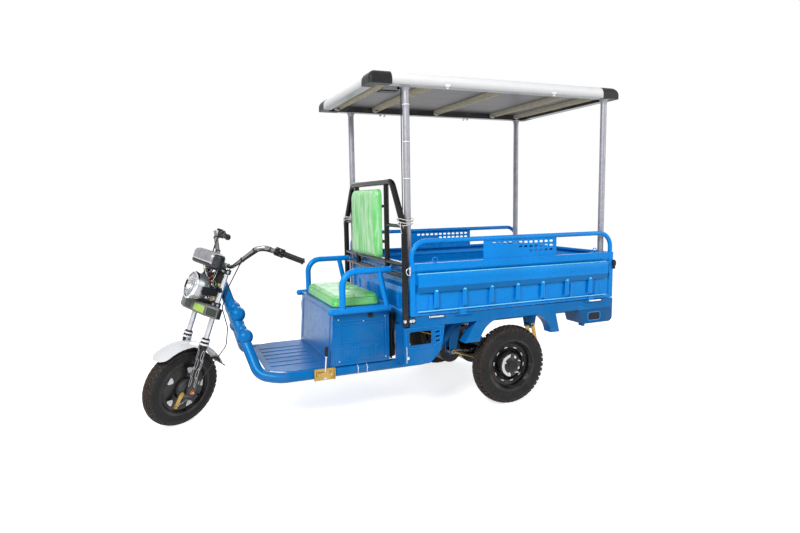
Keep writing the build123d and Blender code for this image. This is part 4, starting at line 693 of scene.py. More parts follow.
def make_finishes():
    """Every finish, by the name that pieces ask for."""
    c = colours()
    trim, brass, gleam = c.trim, c.brass, (0.25, 0.8, 1.0, 1.0)
    FINISHES.update({
        "paint": enamel("blue_enamel", c.paint, 0.26, sheen=0.5, tint=gleam),
        # painted shade: a darker copy of the blue paint
        "deep_paint": enamel("shaded_blue_enamel", shade(c.paint, 0.62)[:3], 0.3, sheen=0.4, tint=gleam),
        # painted shade: a still darker copy of the blue paint
        "dark_paint": enamel("heavy_shade_blue_enamel", shade(c.paint, 0.36)[:3], 0.3, sheen=0.4, tint=gleam),
        "floor": floor_finish(shade(c.paint, 0.6)[:3]),
        "trim": enamel("black_enamel", trim, 0.2, 0.1, 0.5, 0.3, 0.2),
        "plastic": moulded("black_moulding", (0.012, 0.012, 0.013)),
        "handlebar": plated("handlebar_chrome", (0.26, 0.25, 0.245), 0.24, 0.12, 200.0, 0.85),
        "grip": grip_finish(),
        "brass": plated("yellow_zinc", brass, 0.3, 0.4, 60.0, 0.85),
        "copper": plated("copper_nut", (0.62, 0.27, 0.13), 0.28, 0.3),
        "cast": plated("cast_housing", (0.055, 0.056, 0.06), 0.5, 0.3, 120.0, 0.5),
        "hub": plated("brake_plate", (0.1, 0.1, 0.1), 0.4, 0.3, 120.0, 0.6),
        "zinc": plated("bright_zinc", (0.62, 0.64, 0.67), 0.25, 0.2, 150.0),
        "steel": plated("machined_steel", (0.5, 0.5, 0.52), 0.3, 0.15, 200.0, 0.9),
        "post": plated("galvanised_post", c.post, 0.42, 0.22, 55.0, 0.6),
        "channel": plated("galvanised_channel", (0.72, 0.66, 0.5), 0.45, 0.25, 45.0, 0.2),
        "edge": canopy_edge_finish(c.edge),
        "panel": solar_panel_finish(),
        "silver": enamel("silver_enamel", (0.6, 0.61, 0.63), 0.2, 0.7, 0.2, 0.1),
        "silver_coat": enamel("white_collar_enamel", (0.72, 0.73, 0.75), 0.18, 0.6, 0.1, 0.0),
        "flap": rubber("flap_rubber", (0.035, 0.026, 0.022), (0.16, 0.12, 0.1)),
        "gloss": moulded("gloss_black_moulding", (0.006, 0.006, 0.007), 0.12, 300.0, 0.0),
        "white_wire": moulded("white_wire_sheath", (0.62, 0.62, 0.6), 0.4, 700.0, 0.1),
        "green_wire": moulded("green_wire_sheath", (0.02, 0.3, 0.06), 0.4, 700.0, 0.1),
        "chrome": bright("chrome", (0.7, 0.71, 0.73)),
        "fork": fork_finish(),
        "bowl": plated("satin_lamp_bowl", (0.42, 0.43, 0.45), 0.24, 0.1, 300.0, 0.75),
        "line": plated("trim_line", (0.42, 0.42, 0.43), 0.3, 0.1, 200.0, 0.9),
        "lens": glassy("clear_lens", (0.96, 0.97, 0.98), 0.0, 0.02, 1.0),
        "green_lens": glassy("lime_lens", (0.45, 0.7, 0.12), 150.0, 0.12, 0.2),
        "dark_lens": glassy("smoked_lens", (0.03, 0.05, 0.035), 150.0, 0.08, 0.2),
        "red_lens": rear_lamp_finish(),
        "housing": moulded("grey_housing", c.housing, 0.35, 400.0, 0.1),
        "cluster": cluster_finish(),
        "horn": moulded("cream_moulding", (0.7, 0.66, 0.52), 0.4),
        "cable": moulded("cable_sheath", (0.014, 0.014, 0.015), 0.4, 700.0, 0.1),
        "red_wire": moulded("red_wire_sheath", (0.5, 0.02, 0.015), 0.4, 700.0, 0.1),
        "blue_wire": moulded("blue_wire_sheath", (0.01, 0.16, 0.5), 0.4, 700.0, 0.1),
        "white_nylon": moulded("white_nylon", (0.75, 0.76, 0.76), 0.4, 500.0, 0.1),
        "tyre": rubber("tyre_rubber", c.tyre),
        "piping": moulded("vinyl_piping", shade(c.vinyl, 0.8)[:3], 0.35, 500.0, 0.1),
        "strap": moulded("tie_strap", (0.62, 0.6, 0.58), 0.55, 300.0, 0.3),
        # painted highlight: a light cyan-blue copy of the paint for the gates' creases and rib tips
        "bright_paint": enamel("highlight_blue_enamel", (0.2, 0.68, 0.95), 0.16, 0.2, 0.2, 0.0),
        "seat_film": filmed_vinyl("filmed_vinyl_seat", c.vinyl, (16, 26, 30), "Z"),
        "back_film": filmed_vinyl("filmed_vinyl_back", c.vinyl, (30, 40, 6), "X"),
    })


class TricycleTool:
    """What every operator here shares."""

    bl_options = {"REGISTER"}
    body = "chassis"

    def execute(self, context):
        Form.riding_on = self.body
        Form.open.clear()
        self.make(context)
        for form in Form.open:
            form.close()
        return {"FINISHED"}


class TRICYCLE_OT_finishes(TricycleTool, Operator):
    """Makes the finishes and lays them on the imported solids"""

    bl_idname = "tricycle.finishes"
    bl_label = "Finishes"

    def make(self, context):
        make_finishes()
        for finish, nodes in NODE_FINISHES.items():
            for node in nodes:
                self.lay(frame["nodes"].get(node), FINISHES[finish])

    @staticmethod
    def lay(solid_object, material):
        if solid_object is None:
            return
        for place in solid_object.material_slots:
            place.material = material
        if not solid_object.material_slots:
            raise RuntimeError(f"{solid_object.name} has no material slot")


SOFT_LIGHT = 0.34
FLOOR_GLOW = 0.76


class TRICYCLE_OT_stage(TricycleTool, Operator):
    """Makes the floor, the soft lights and the camera"""

    bl_idname = "tricycle.stage"
    bl_label = "Stage"

    def make(self, context):
        scene = context.scene
        scene.view_settings.view_transform = "Standard"
        self.floor(scene)
        self.sky(scene)
        for name, place, size, power in (
            ("key_light", (-3.2, -3.6, 4.2), 2.0, 290.0),
            ("fill_light", (3.6, -3.2, 2.6), 3.0, 60.0),
            ("back_light", (1.5, 4.5, 3.5), 3.0, 70.0),
        ):
            self.lamp(scene, name, place, size, power)
        self.camera(scene)

    @staticmethod
    def floor(scene):
        half = 30.0
        mesh = bpy.data.meshes.new("studio_floor")
        mesh.from_pydata([(-half, -half, 0), (half, -half, 0), (half, half, 0), (-half, half, 0)], [], [(0, 1, 2, 3)])
        f = Finish("studio_floor")
        seen = f.watched()
        pale = f.mix(f.noise(3.0, 3.0), (0.8, 0.8, 0.8, 1), (0.82, 0.82, 0.82, 1))
        matt = f.add("ShaderNodeBsdfDiffuse", None, {"Color": pale})
        glow = f.add("ShaderNodeEmission", None, {"Color": (1, 1, 1, 1), "Strength": FLOOR_GLOW})
        both = f.add("ShaderNodeAddShader", None, {0: matt[0], 1: glow[0]})
        f.shown(f.add("ShaderNodeMixShader", None, {0: seen, 1: matt[0], 2: both[0]})[0])
        mesh.materials.append(f.material)
        floor = bpy.data.objects.new("studio_floor", mesh)
        scene.collection.objects.link(floor)

    @staticmethod
    def sky(scene):
        scene.world = bpy.data.worlds.new("studio")
        f = Finish("studio", scene.world)
        soft, white = (f.add("ShaderNodeBackground", None, {"Color": (1, 1, 1, 1), "Strength": strength})
                       for strength in (SOFT_LIGHT, 1.0))
        both = f.add("ShaderNodeMixShader", None, {0: f.watched(), 1: soft[0], 2: white[0]})
        f.add("ShaderNodeOutputWorld", None, {"Surface": both[0]})

    @staticmethod
    def lamp(scene, name, place, size, power):
        data = bpy.data.lights.new(name, "AREA")
        data.size, data.energy = size, power
        lamp = bpy.data.objects.new(name, data)
        lamp.location = place
        lamp.rotation_mode = "QUATERNION"
        lamp.rotation_quaternion = (Vector((0, 0, 0.8)) - lamp.location).to_track_quat("-Z", "Y")
        scene.collection.objects.link(lamp)

    @staticmethod
    def camera(scene):
        data = bpy.data.cameras.new("camera")
        data.sensor_width = 36.0
        data.lens = 36.0 * 570.08 / 800
        data.clip_end = 200.0
        eye = bpy.data.objects.new("camera", data)
        yaw, dip, roll = radians(-22.511), radians(6.509), radians(-0.926)
        back = Vector((sin(yaw) * cos(dip), -cos(yaw) * cos(dip), sin(dip)))
        right = (-back).cross(UP).normalized()
        up = right.cross(-back)
        tilted = right * cos(roll) + up * sin(roll), up * cos(roll) - right * sin(roll), back
        place = Matrix(tilted).transposed().to_4x4()
        place.translation = (-1.2791, -3.4186, 1.2552)
        eye.matrix_world = place
        scene.collection.objects.link(eye)
        scene.camera = eye


# ---------------------------------------------------------------- tyres


TREADS = {
    "rear": {
        "rows": ((0.0, 1, 1, 0.0), (1.6, 1, 1, 0.0), (2.6, 0, 0.8, 0.02), (13.0, 0, 0.8, 0.14), (14.0, 1, 1, 0.15),
                 (17.2, 1, 1, 0.17), (18.2, 0, 1, 0.30), (27.0, 0, 1, 0.34), (36.0, 0, 1, 0.37),
                 (42.0, 0, 1.05, 0.39), (48.5, 0, 1.0, 0.40), (53.0, 0.15, 0.6, 0.41), (54.5, 0.4, 0.4, 0.41)),
        "columns": ((0.0, 0), (0.04, 1), (0.30, 1), (0.34, 0), (0.56, 0), (0.78, 0)),
    },
    "front": {
        "rows": ((0.0, 0, 0.0, 0.0), (4.0, 0, 0.0, 0.1), (5.0, 1, 1, 0.1), (8.0, 1, 1, 0.2), (9.0, 0, 0.7, 0.22),
                 (19.0, 0, 0.9, 0.42), (20.0, 1, 1, 0.44), (22.6, 1, 1, 0.48), (23.6, 0, 1, 0.6), (33.0, 0, 1, 0.78),
                 (40.0, 0, 0.9, 0.84), (44.0, 0.2, 0.4, 0.86), (45.5, 0.4, 0.4, 0.86)),
        "columns": ((0.0, 0), (0.04, 1), (0.20, 1), (0.24, 0), (0.5, 0), (0.75, 0)),
    },
}
WALL_ROWS = ((0.10, 0.0), (0.22, 0.0), (0.26, -0.0007), (0.30, -0.0007), (0.34, 0.0), (0.46, 0.0), (0.58, 0.0),
             (0.70, 0.0), (0.74, -0.0009), (0.79, -0.0009), (0.83, 0.0), (0.92, 0.0), (1.0, 0.0))


class TyreWall:
    """Half of a tyre's section, from the middle of the tread to the bead, measured along its surface."""

    def __init__(self, radius, width, seat):
        drop = 0.013
        crown = [(0.0, radius), (0.15 * width, radius - drop * 0.11), (0.30 * width, radius - drop * 0.47),
                 (0.43 * width, radius - drop)]
        wall = [(0.475 * width, radius - drop - 0.012), (0.5 * width, radius - drop - 0.03),
                (0.492 * width, seat + 0.028), (0.45 * width, seat + 0.012), (0.40 * width, seat + 0.0015)]
        self.points = [Vector(p) for p in curve_through([*crown, *wall], 10)]
        self.marks = [0.0]
        for a, b in zip(self.points, self.points[1:]):
            self.marks.append(self.marks[-1] + (b - a).length)
        self.reach = self.marks[-1]

    def at(self, distance):
        """The point at a distance from the middle, and the way out of the rubber there."""
        i = next((i for i, mark in enumerate(self.marks[1:]) if mark >= distance), len(self.marks) - 2)
        a, b = self.points[i], self.points[i + 1]
        share = (distance - self.marks[i]) / (self.marks[i + 1] - self.marks[i])
        run = (b - a).normalized()
        return a.lerp(b, min(share, 1.0)), Vector((-run.y, run.x))


def tyre(wheel, radius, width, groove, pitches, style):
    """One tyre with its tread cut in, in place of the plain solid."""
    joint, body, node, _ = WHEELS[wheel]
    place = joint_place(joint)
    wall = TyreWall(radius, width, sizes().rim_seat / 2)
    tread = TREADS[style]
    rows = [(distance / 1000, along * groove, across * groove, lean)
            for distance, along, across, lean in tread["rows"]]
    last = rows[-1][0]
    rows += [(last + (wall.reach - last) * share, depth, depth, rows[-1][3]) for share, depth in WALL_ROWS]
    form = Form(f"{node}_treaded", "tyre", 0.0, body, sharp=30, stands_for=node)
    pitch, lines = 2 * pi / pitches, []
    half_rows = [(-1, *row) for row in rows[:0:-1]] + [(1, *row) for row in rows]
    for side, distance, along, across, lean in half_rows:
        (y, r), (out_y, out_r) = wall.at(distance)
        line = []
        for k in range(pitches):
            for phase, gap in tread["columns"]:
                depth = max(along, across) if gap else along
                angle = (k + phase + side * lean + (0.5 if side < 0 else 0.0) * min(1.0, distance / 0.0026)) * pitch
                reach = r - out_r * depth
                line.append((reach * cos(angle), reach * sin(angle), side * (y - out_y * depth)))
        lines.append(form.row(line, place))
    form.skin(lines)


class TRICYCLE_OT_tyres(TricycleTool, Operator):
    """Makes the three tyres with their treads"""

    bl_idname = "tricycle.tyres"
    bl_label = "Tyres"

    def make(self, context):
        s = sizes()
        tyre("front", s.front_tyre / 2, s.front_width, s.front_groove, s.front_pitches, "front")
        for side in ("left", "right"):
            low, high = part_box(WHEELS[side][2])
            tyre(side, (high.z - low.z) / 2, high.y - low.y, s.rear_groove, s.rear_pitches, "rear")


# ---------------------------------------------------------------- steering head


LEG = (-35.0, 79.0)
LEG_R = 20.5
AXLE_Z = -563.8
COLLARS = (-272.0, -294.0)
CROWNS = (-70.0, 126.0)
CROWN_T = 26.0
CLAMP_Z = 166.0
BAR = [(8.0, 0.0, 166.0), (12.0, 55.0, 166.0), (30.0, 180.0, 313.0), (56.0, 222.0, 336.0), (255.0, 340.0, 318.0)]
AHEAD, UPWARD = (1, 0, 0), (0, 0, 1)


def steer_mm(x, y, z):
    """A point of the steering head's frame, given in millimetres."""
    return steer(x / 1000, y / 1000, z / 1000)


def steer_aim(x, y, z, out, along=UPWARD):
    """A place at a point of the steering head, in millimetres, facing a direction of that frame."""
    return aim(steer_mm(x, y, z), steer_way(*out), steer_way(*along))


def ring(inner, outer, low, high, ease=1.0):
    """The closed section of a ring."""
    return [(inner, low), (outer - ease, low), (outer, low + ease), (outer, high - ease), (outer - ease, high),
            (inner, high), (inner, low)]


def on_bar(way, side, up=0.0, ahead=0.0):
    """A point of the handlebar's axis, a share of the way from the clamp to the tip, moved off it."""
    spots = [Vector(p) for p in BAR]
    marks = [0.0]
    for a, b in zip(spots, spots[1:]):
        marks.append(marks[-1] + (b - a).length)
    goal = way * marks[-1]
    i = next(i for i in range(len(spots) - 1) if marks[i + 1] >= goal - 1e-6)
    p = spots[i].lerp(spots[i + 1], (goal - marks[i]) / (marks[i + 1] - marks[i]))
    return steer_mm(p.x - ahead, side * p.y, p.z + up)


class TRICYCLE_OT_fork(TricycleTool, Operator):
    """Makes the collars, seals, trim lines and bolts of the fork, the fender's bead and its flap"""

    bl_idname = "tricycle.fork"
    bl_label = "Fork"
    body = "steering"

    def make(self, context):
        self.collars()
        self.trim_lines()
        self.crown_fittings()
        self.fender()
        self.flap()
        self.axle()

    def collars(self):
        bands, seals = Form("fork_collars", "silver_coat"), Form("fork_seals", "plastic", slot="black_rubber")
        feet = Form("fork_slider_steps", "trim")
        for side in SIDES:
            leg = steer_aim(LEG[0], side * LEG[1], 0, UPWARD, AHEAD)
            for z in COLLARS:
                bands.turned(leg, ring(LEG_R, 26.8, z - 0.4, z + 12.4, 2.5), 36)
            seals.turned(leg, ring(15.6, 21.5, -260.0, -252.0, 3.0), 36)
            seals.turned(leg, ring(LEG_R, 24.0, -281.0, -273.0, 1.5), 36)
            feet.turned(leg, ring(LEG_R, 22.6, -310.0, -298.0, 3.0), 36)

    def trim_lines(self):
        """Long closed loops of bright trim on the outer and front faces of the sliders."""
        runs, reach = [], LEG_R + 0.5
        loops = ((0.30, -322, -384, 0.34), (-0.30, -372, -436, 0.36), (0.22, -424, -486, 0.34),
                 (-0.15, -478, -536, 0.30))
        for side in SIDES:
            for middle, top, bottom, half in loops:
                for face in (0.0, 1.5):
                    points = []
                    for turn in (*circle(12), 2 * pi):
                        swing = face + middle + half * sin(turn)
                        z = (top + bottom) / 2 + (top - bottom) / 2 * cos(turn)
                        points.append(steer_mm(LEG[0] - reach * sin(swing), side * (LEG[1] + reach * cos(swing)), z))
                    runs.append(points)
        wires("slider_trim", runs, 3.2, "line")

    def crown_fittings(self):
        caps, bolts = Form("stanchion_caps", "chrome"), Form("crown_bolts", "zinc")
        clamps = Form("bar_clamps", "zinc", 0.0008)
        for side in SIDES:
            caps.turned(steer_aim(LEG[0], side * LEG[1], 0, UPWARD, AHEAD),
                        [(14.5, 150), (14.5, 155), (13.5, 157), (10, 159.5), (0, 159.5)], 28)
            for z in (low + CROWN_T / 2 for low in CROWNS):
                bolts.bolt(steer_aim(LEG[0] - 23, side * (LEG[1] - 3), z, (-1, 0, 0)), 0.011, 0.005, 0.001)
                bolts.bolt(steer_aim(LEG[0] - 10, side * (LEG[1] + 22.8), z, (0, side, 0)), 0.011, 0.005, 0.001)
            clamps.turned(steer_aim(BAR[0][0], side * 20, CLAMP_Z, (0, 1, 0)), ring(11.3, 17.0, -9, 9, 1.5), 32)
            for x in (BAR[0][0] - 19, BAR[0][0] + 19):
                clamps.plate(steer_aim(x, side * 20, CLAMP_Z + 1, UPWARD, AHEAD), 10, 18, 2, -8, 8)
                bolts.bolt(steer_aim(x, side * 20, CLAMP_Z + 9, UPWARD, AHEAD), 0.008, 0.006, 0)

    half, crown = 58.0, 13.0
    middle = Vector((LEG[0], 0, AXLE_Z))

    def fender(self):
        """The crowned fender with its round nose, the bead on its rim and its stays."""
        crown_r, thick, corner = 267.0, 1.6, 50.0
        first, last = radians(39), radians(147)
        arc = crown_r * (last - first)

        def spot(along, across, sink=0.0):
            r = crown_r - self.crown * (across / self.half) ** 2 - sink
            angle = first + along / crown_r
            return steer_mm(self.middle.x + r * cos(angle), across, self.middle.z + r * sin(angle))

        stations = [(arc - corner) * i / 30 for i in range(30)] + [arc - corner * (1 - sin(pi / 2 * i / 8))
                                                                   for i in range(9)]
        sheet = Form("fender_sheet", "silver", sharp=50, stands_for="front_fender")
        rows, outline = [], []
        for along in stations:
            turned = min(1.0, max(0.0, (along - arc + corner) / corner))
            wide = self.half - corner * (1 - (1 - turned ** 2) ** 0.5)
            outline.append((along, wide))
            ways = [wide * (i / 8 - 1) for i in range(17)]
            rows.append(sheet.row([spot(along, y) for y in ways] + [spot(along, y, thick) for y in reversed(ways)]))
        sheet.loft(rows)
        bolts = Form("fender_bolts", "zinc")
        for side in SIDES:
            stay = [(-17, -292), (17, -292), (19, -318), (10, -330), (-10, -330), (-19, -318)]
            sheet.loft([sheet.row([steer_mm(LEG[0] + x, side * y, z) for x, z in stay]) for y in (57.0, 60.2)])
            for x, z in ((-9, -302), (9, -302), (0, -320)):
                bolts.bolt(steer_aim(LEG[0] + x, side * 60.0, z, (0, side, 0)), 0.009, 0.004, 0.001)
        rim = [spot(along, -wide, 0.8) for along, wide in outline]
        rim += [spot(along, wide, 0.8) for along, wide in reversed(outline)]
        wires("fender_bead", [rim], 4.8, "silver")

    def flap(self):
        """The dark flap below the fender's rear end."""
        flap = Form("fender_flap", "flap")
        start, end = self.middle + Vector((202.0, 0, 164.0)), self.middle + Vector((268.0, 0, 131.0))
        run = (end - start).normalized()
        out = Vector((-run.z, 0, run.x))
        rows = []
        for share, width in ((-0.16, 46.0), (0.0, 47.0), (0.2, 44.0), (0.43, 37.0), (0.62, 29.0), (0.8, 20.0),
                             (1.0, 9.0)):
            base = start + (end - start) * share + out * (2.4 if share < 0 else 0.6)
            line = []
            for across in (width * (i / 4 - 1) for i in range(9)):
                bow = 1.0 - self.crown * (across / self.half) ** 2 * max(0.0, 1 - share * 0.8)
                line.append(base + Vector((0, across, 0)) + out * bow)
            outer, inner = (flap.row([steer_mm(*(p + out * skin)) for p in line]) for skin in (2.2, -2.2))
            rows.append(outer + inner[::-1])
        flap.skin(rows)
        for row in (rows[0], rows[-1]):
            flap.bm.faces.new(row)

    def axle(self):
        """Axle nuts, the drum's ribs, and the brake arm with its spring."""
        nuts = Form("axle_nuts", "copper")
        for side in SIDES:
            nuts.bolt(steer_aim(LEG[0], side * (LEG[1] + 20.6), AXLE_Z, (0, side, 0)), 0.016, 0.010, 0.001, 0.006)
        pivot, tip = Vector((-78, 0, AXLE_Z - 22)), Vector((-94, 0, AXLE_Z - 94))
        face, outside = -71.0, (0, -1, 0)
        lean = (tip - pivot).normalized()
        across = Vector((lean.z, 0, -lean.x))
        outline = []
        for centre, r, start in ((pivot, 13.0, 0.0), (tip, 9.5, pi)):
            for turn in (start + pi * i / 8 for i in range(9)):
                spot = centre + across * (r * cos(turn)) - lean * (r * sin(turn))
                outline.append((spot.x, spot.z))
        arm = Form("brake_arm", "brass", 0.0008)
        arm.loft([arm.row([steer_mm(x, y, z) for x, z in outline]) for y in (face, face - 5.5)])
        arm.bolt(steer_aim(pivot.x, face - 5.5, pivot.z, outside), 0.013, 0.006, 0.001, 0.004)
        arm.turned(steer_aim(tip.x, face - 5.5, tip.z, outside), ring(0, 6.2, 0, 9, 1.5), 20)
        ribs = Form("drum_plate_ribs", "hub")
        for turn in circle(16):
            ribs.dome(steer_aim(LEG[0] + 47 * cos(turn), -58.6, AXLE_Z + 47 * sin(turn), outside), 0.0035, 0.002)
        plate = steer_aim(LEG[0], -58.2, AXLE_Z, outside)
        ribs.turned(plate, ring(24, 34, 0, 3.0), 32)
        ribs.turned(plate, ring(51, 56.6, 0, 2.0, 0.8))
        spring = []
        for i in range(60):
            spot = Vector((-30, -72, AXLE_Z - 50)).lerp(Vector((tip.x + 4, -76, tip.z + 2)), i / 59)
            spring.append(steer_mm(spot.x, spot.y + 4 * cos(pi * i / 4), spot.z + 4 * sin(pi * i / 4)))
        wires("brake_return_spring", [spring], 1.4, "zinc")


class TRICYCLE_OT_head(TricycleTool, Operator):
    """Makes the lamp, the indicators' lenses, the instrument case and the wiring at the head"""

    bl_idname = "tricycle.head"
    bl_label = "Head"
    body = "steering"

    def make(self, context):
        self.lamp()
        self.indicators()
        self.cluster()
        self.wiring()
        self.plugs()

    def lamp(self):
        """Bowl with its reflector, rim, bulb, lens and the plug behind it, turned a little in its mount."""
        place = steer_aim(-168, 14, 20, (-1, 0.34, 0.1), (0, 1, 0))
        Form("lamp_bowl", "bowl", stands_for="headlight").turned(place, [
            (0, -105), (18, -105), (24, -104), (40, -96), (55, -83), (66, -66), (73, -50), (75, -38), (75.4, -6),
            (73, -5),
            (72.5, 0), (69, -1), (64, -9), (52, -24), (38, -37), (24, -45), (15, -48), (15, -52), (0, -52)], 56)
        Form("lamp_rim", "chrome").turned(place, [(75.2, -12), (78, -10), (79.5, -4), (79.5, 3), (77, 7.5),
                                                  (73, 8.5), (70, 6.5), (69.5, 3), (75.2, -12)], 64)
        bulb = Form("lamp_bulb", "plastic")
        bulb.turned(place, [(0, -52), (9, -52), (9, -30), (7, -22), (0, -19)], 24)
        bulb.turned(place, [(15.5, -52), (17, -50), (17, -44), (15.5, -43), (15.5, -52)], 32)
        for turn in circle(3, 0.4):
            bulb.turned(place @ Matrix.Translation((0.045 * cos(turn), 0.045 * sin(turn), -0.033)),
                        [(0, 0), (5.5, 0), (4.5, 3), (0, 3.6)], 14)
        Form("lamp_lens", "lens", stands_for="headlight_lens").turned(place, [
            (0, 13), (25, 11.8), (45, 9), (60, 5), (69.3, 1), (69.3, -1.5), (60, 2.2), (45, 6), (25, 8.6),
            (0, 9.8)], 56)
        back = Form("lamp_plug", "plastic")
        back.turned(place, ring(0, 21, -121, -103, 3), 28)
        back.turned(place, ring(0, 12, -133, -120, 2), 20)

    def indicators(self):
        """Framed lenses on the three faces of the indicator bar, and dark ends."""
        frames, lime = Form("indicator_frames", "housing", 0.0006), Form("indicator_lens", "green_lens", 0.0008)
        smoked, ends = Form("indicator_smoked", "dark_lens", 0.0008), Form("indicator_ends", "plastic", 0.0015)
        tall = 44
        for x, y, out, width, pane in ((-114.0, -40.0, (-1, 0, 0), 96, lime), (-114.0, 52.0, (-1, 0, 0), 62, smoked),
                                       (-97.0, -128.0, (-64, -34, 0), 60, smoked),
                                       (-97.0, 128.0, (-64, 34, 0), 60, smoked)):
            place = steer_aim(x, y, -94.0, out, (0, 1, 0))
            outer, inner = (mm(rounded_outline(width + more, tall + more, r)) for more, r in ((9, 5), (-2, 4)))
            frames.skin([frames.row([(a, b, h) for a, b in line], place)
                         for line, h in ((outer, 0.0), (outer, 0.003), (inner, 0.0045), (inner, 0.0005))])
            pane.plate(place, width - 3, tall - 3, 4, 0.3, 2.8)
        for side in SIDES:
            ends.plate(steer_aim(-69.2, side * 160.2, -94, (0, side, 0)), 58, 20, 4, 0, 7)

    def cluster(self):
        """The instrument case as one smooth shell: tray, strip and silver cover."""
        flat = steer_aim(-112.3, 5, 0, UPWARD, AHEAD)
        form = Form("cluster_case", "cluster", sharp=50, stands_for="instrument_cluster")
        layers = ((143.0, 88, 184, 38), (144.5, 94, 192, 44), (150, 106, 203, 49), (158, 108, 205, 50),
                  (165.4, 108, 205, 50),
                  (166, 106.4, 203.4, 49), (166.6, 108, 205, 50), (186, 108, 205, 50), (205, 108, 205, 50),
                  (212, 103, 200, 48),
                  (218, 95, 191, 44), (222.5, 84, 178, 38), (224.5, 74, 164, 33), (225.4, 69, 158, 31),
                  (225.4, 67, 156, 30), (226.8, 66, 155, 29.5), (226.8, 40, 120, 18))
        form.loft([form.row(mm([(x, y, z) for x, y in rounded_outline(wide, long, r, 8)]), flat)
                   for z, wide, long, r in layers])

    def wiring(self):
        """The knot of loose wires between the lamp, the instruments and the crowns."""
        boxes = (((-100, -62), (-66, 60), (96, 136)), ((-108, -58), (-78, 66), (54, 96)),
                 ((-96, -52), (-84, 60), (16, 62)),
                 ((-84, -44), (-72, 56), (-28, 24)), ((-60, -34), (-58, 52), (-44, -16)))

        def share(seed, step):
            return (sin((seed + step * 7.9) * 12.9898) * 43758.5453) % 1.0

        for order, (finish, count) in enumerate((("cable", 26), ("red_wire", 7), ("blue_wire", 4), ("white_wire", 6),
                                                 ("green_wire", 4))):
            runs = []
            for seed in (order * 31.7 + i * 5.13 for i in range(count)):
                runs.append([steer_mm(*(low + (high - low) * share(seed, 3 * k + axis + 1)
                                        for axis, (low, high) in enumerate(box))) for k, box in enumerate(boxes)])
            wires(f"head_wires_{finish}", runs, 4.2 if finish == "cable" else 3.0, finish)

    def plugs(self):
        """Plugs, brackets and relay cases among the wires."""
        plugs, pale = Form("head_plugs", "plastic", 0.0008), Form("head_plugs_pale", "white_nylon", 0.0008)
        metal, case = Form("head_brackets", "brass", 0.0006), Form("head_flasher_case", "plastic", 0.002)
        for x, y, z, turn, form, big in (
            (-70, -58, 74, 0.4, plugs, 1.0), (-62, -40, 40, -0.5, pale, 0.9), (-78, -20, 98, 0.9, plugs, 0.9),
            (-66, -70, 12, 0.2, plugs, 1.1), (-58, -30, 2, -0.8, pale, 1.0), (-84, 34, 84, 0.1, plugs, 1.0),
            (-58, -78, 100, 1.2, plugs, 0.8), (-50, -66, 56, 0.7, metal, 0.7), (-72, -44, -8, -0.3, metal, 0.9),
            (-52, 44, 30, 0.5, plugs, 1.2), (-64, 14, 60, 1.0, pale, 0.8), (-48, -86, 28, 0.0, plugs, 0.9),
        ):
            place = steer_aim(x, y, z, (cos(turn), sin(turn), 0.3), (0, 0.3, 1)) @ Matrix.Scale(big, 4)
            form.plate(place, 30, 19, 3, -7, 9)
            form.plate(place, 20, 12, 2, 9, 17)
        case.plate(steer_aim(-47, -52, 96, (-1, -0.25, 0)), 64, 46, 6, 0, 26)
        case.plate(steer_aim(-47, 50, 90, (-1, 0.25, 0)), 46, 40, 5, 0, 24)


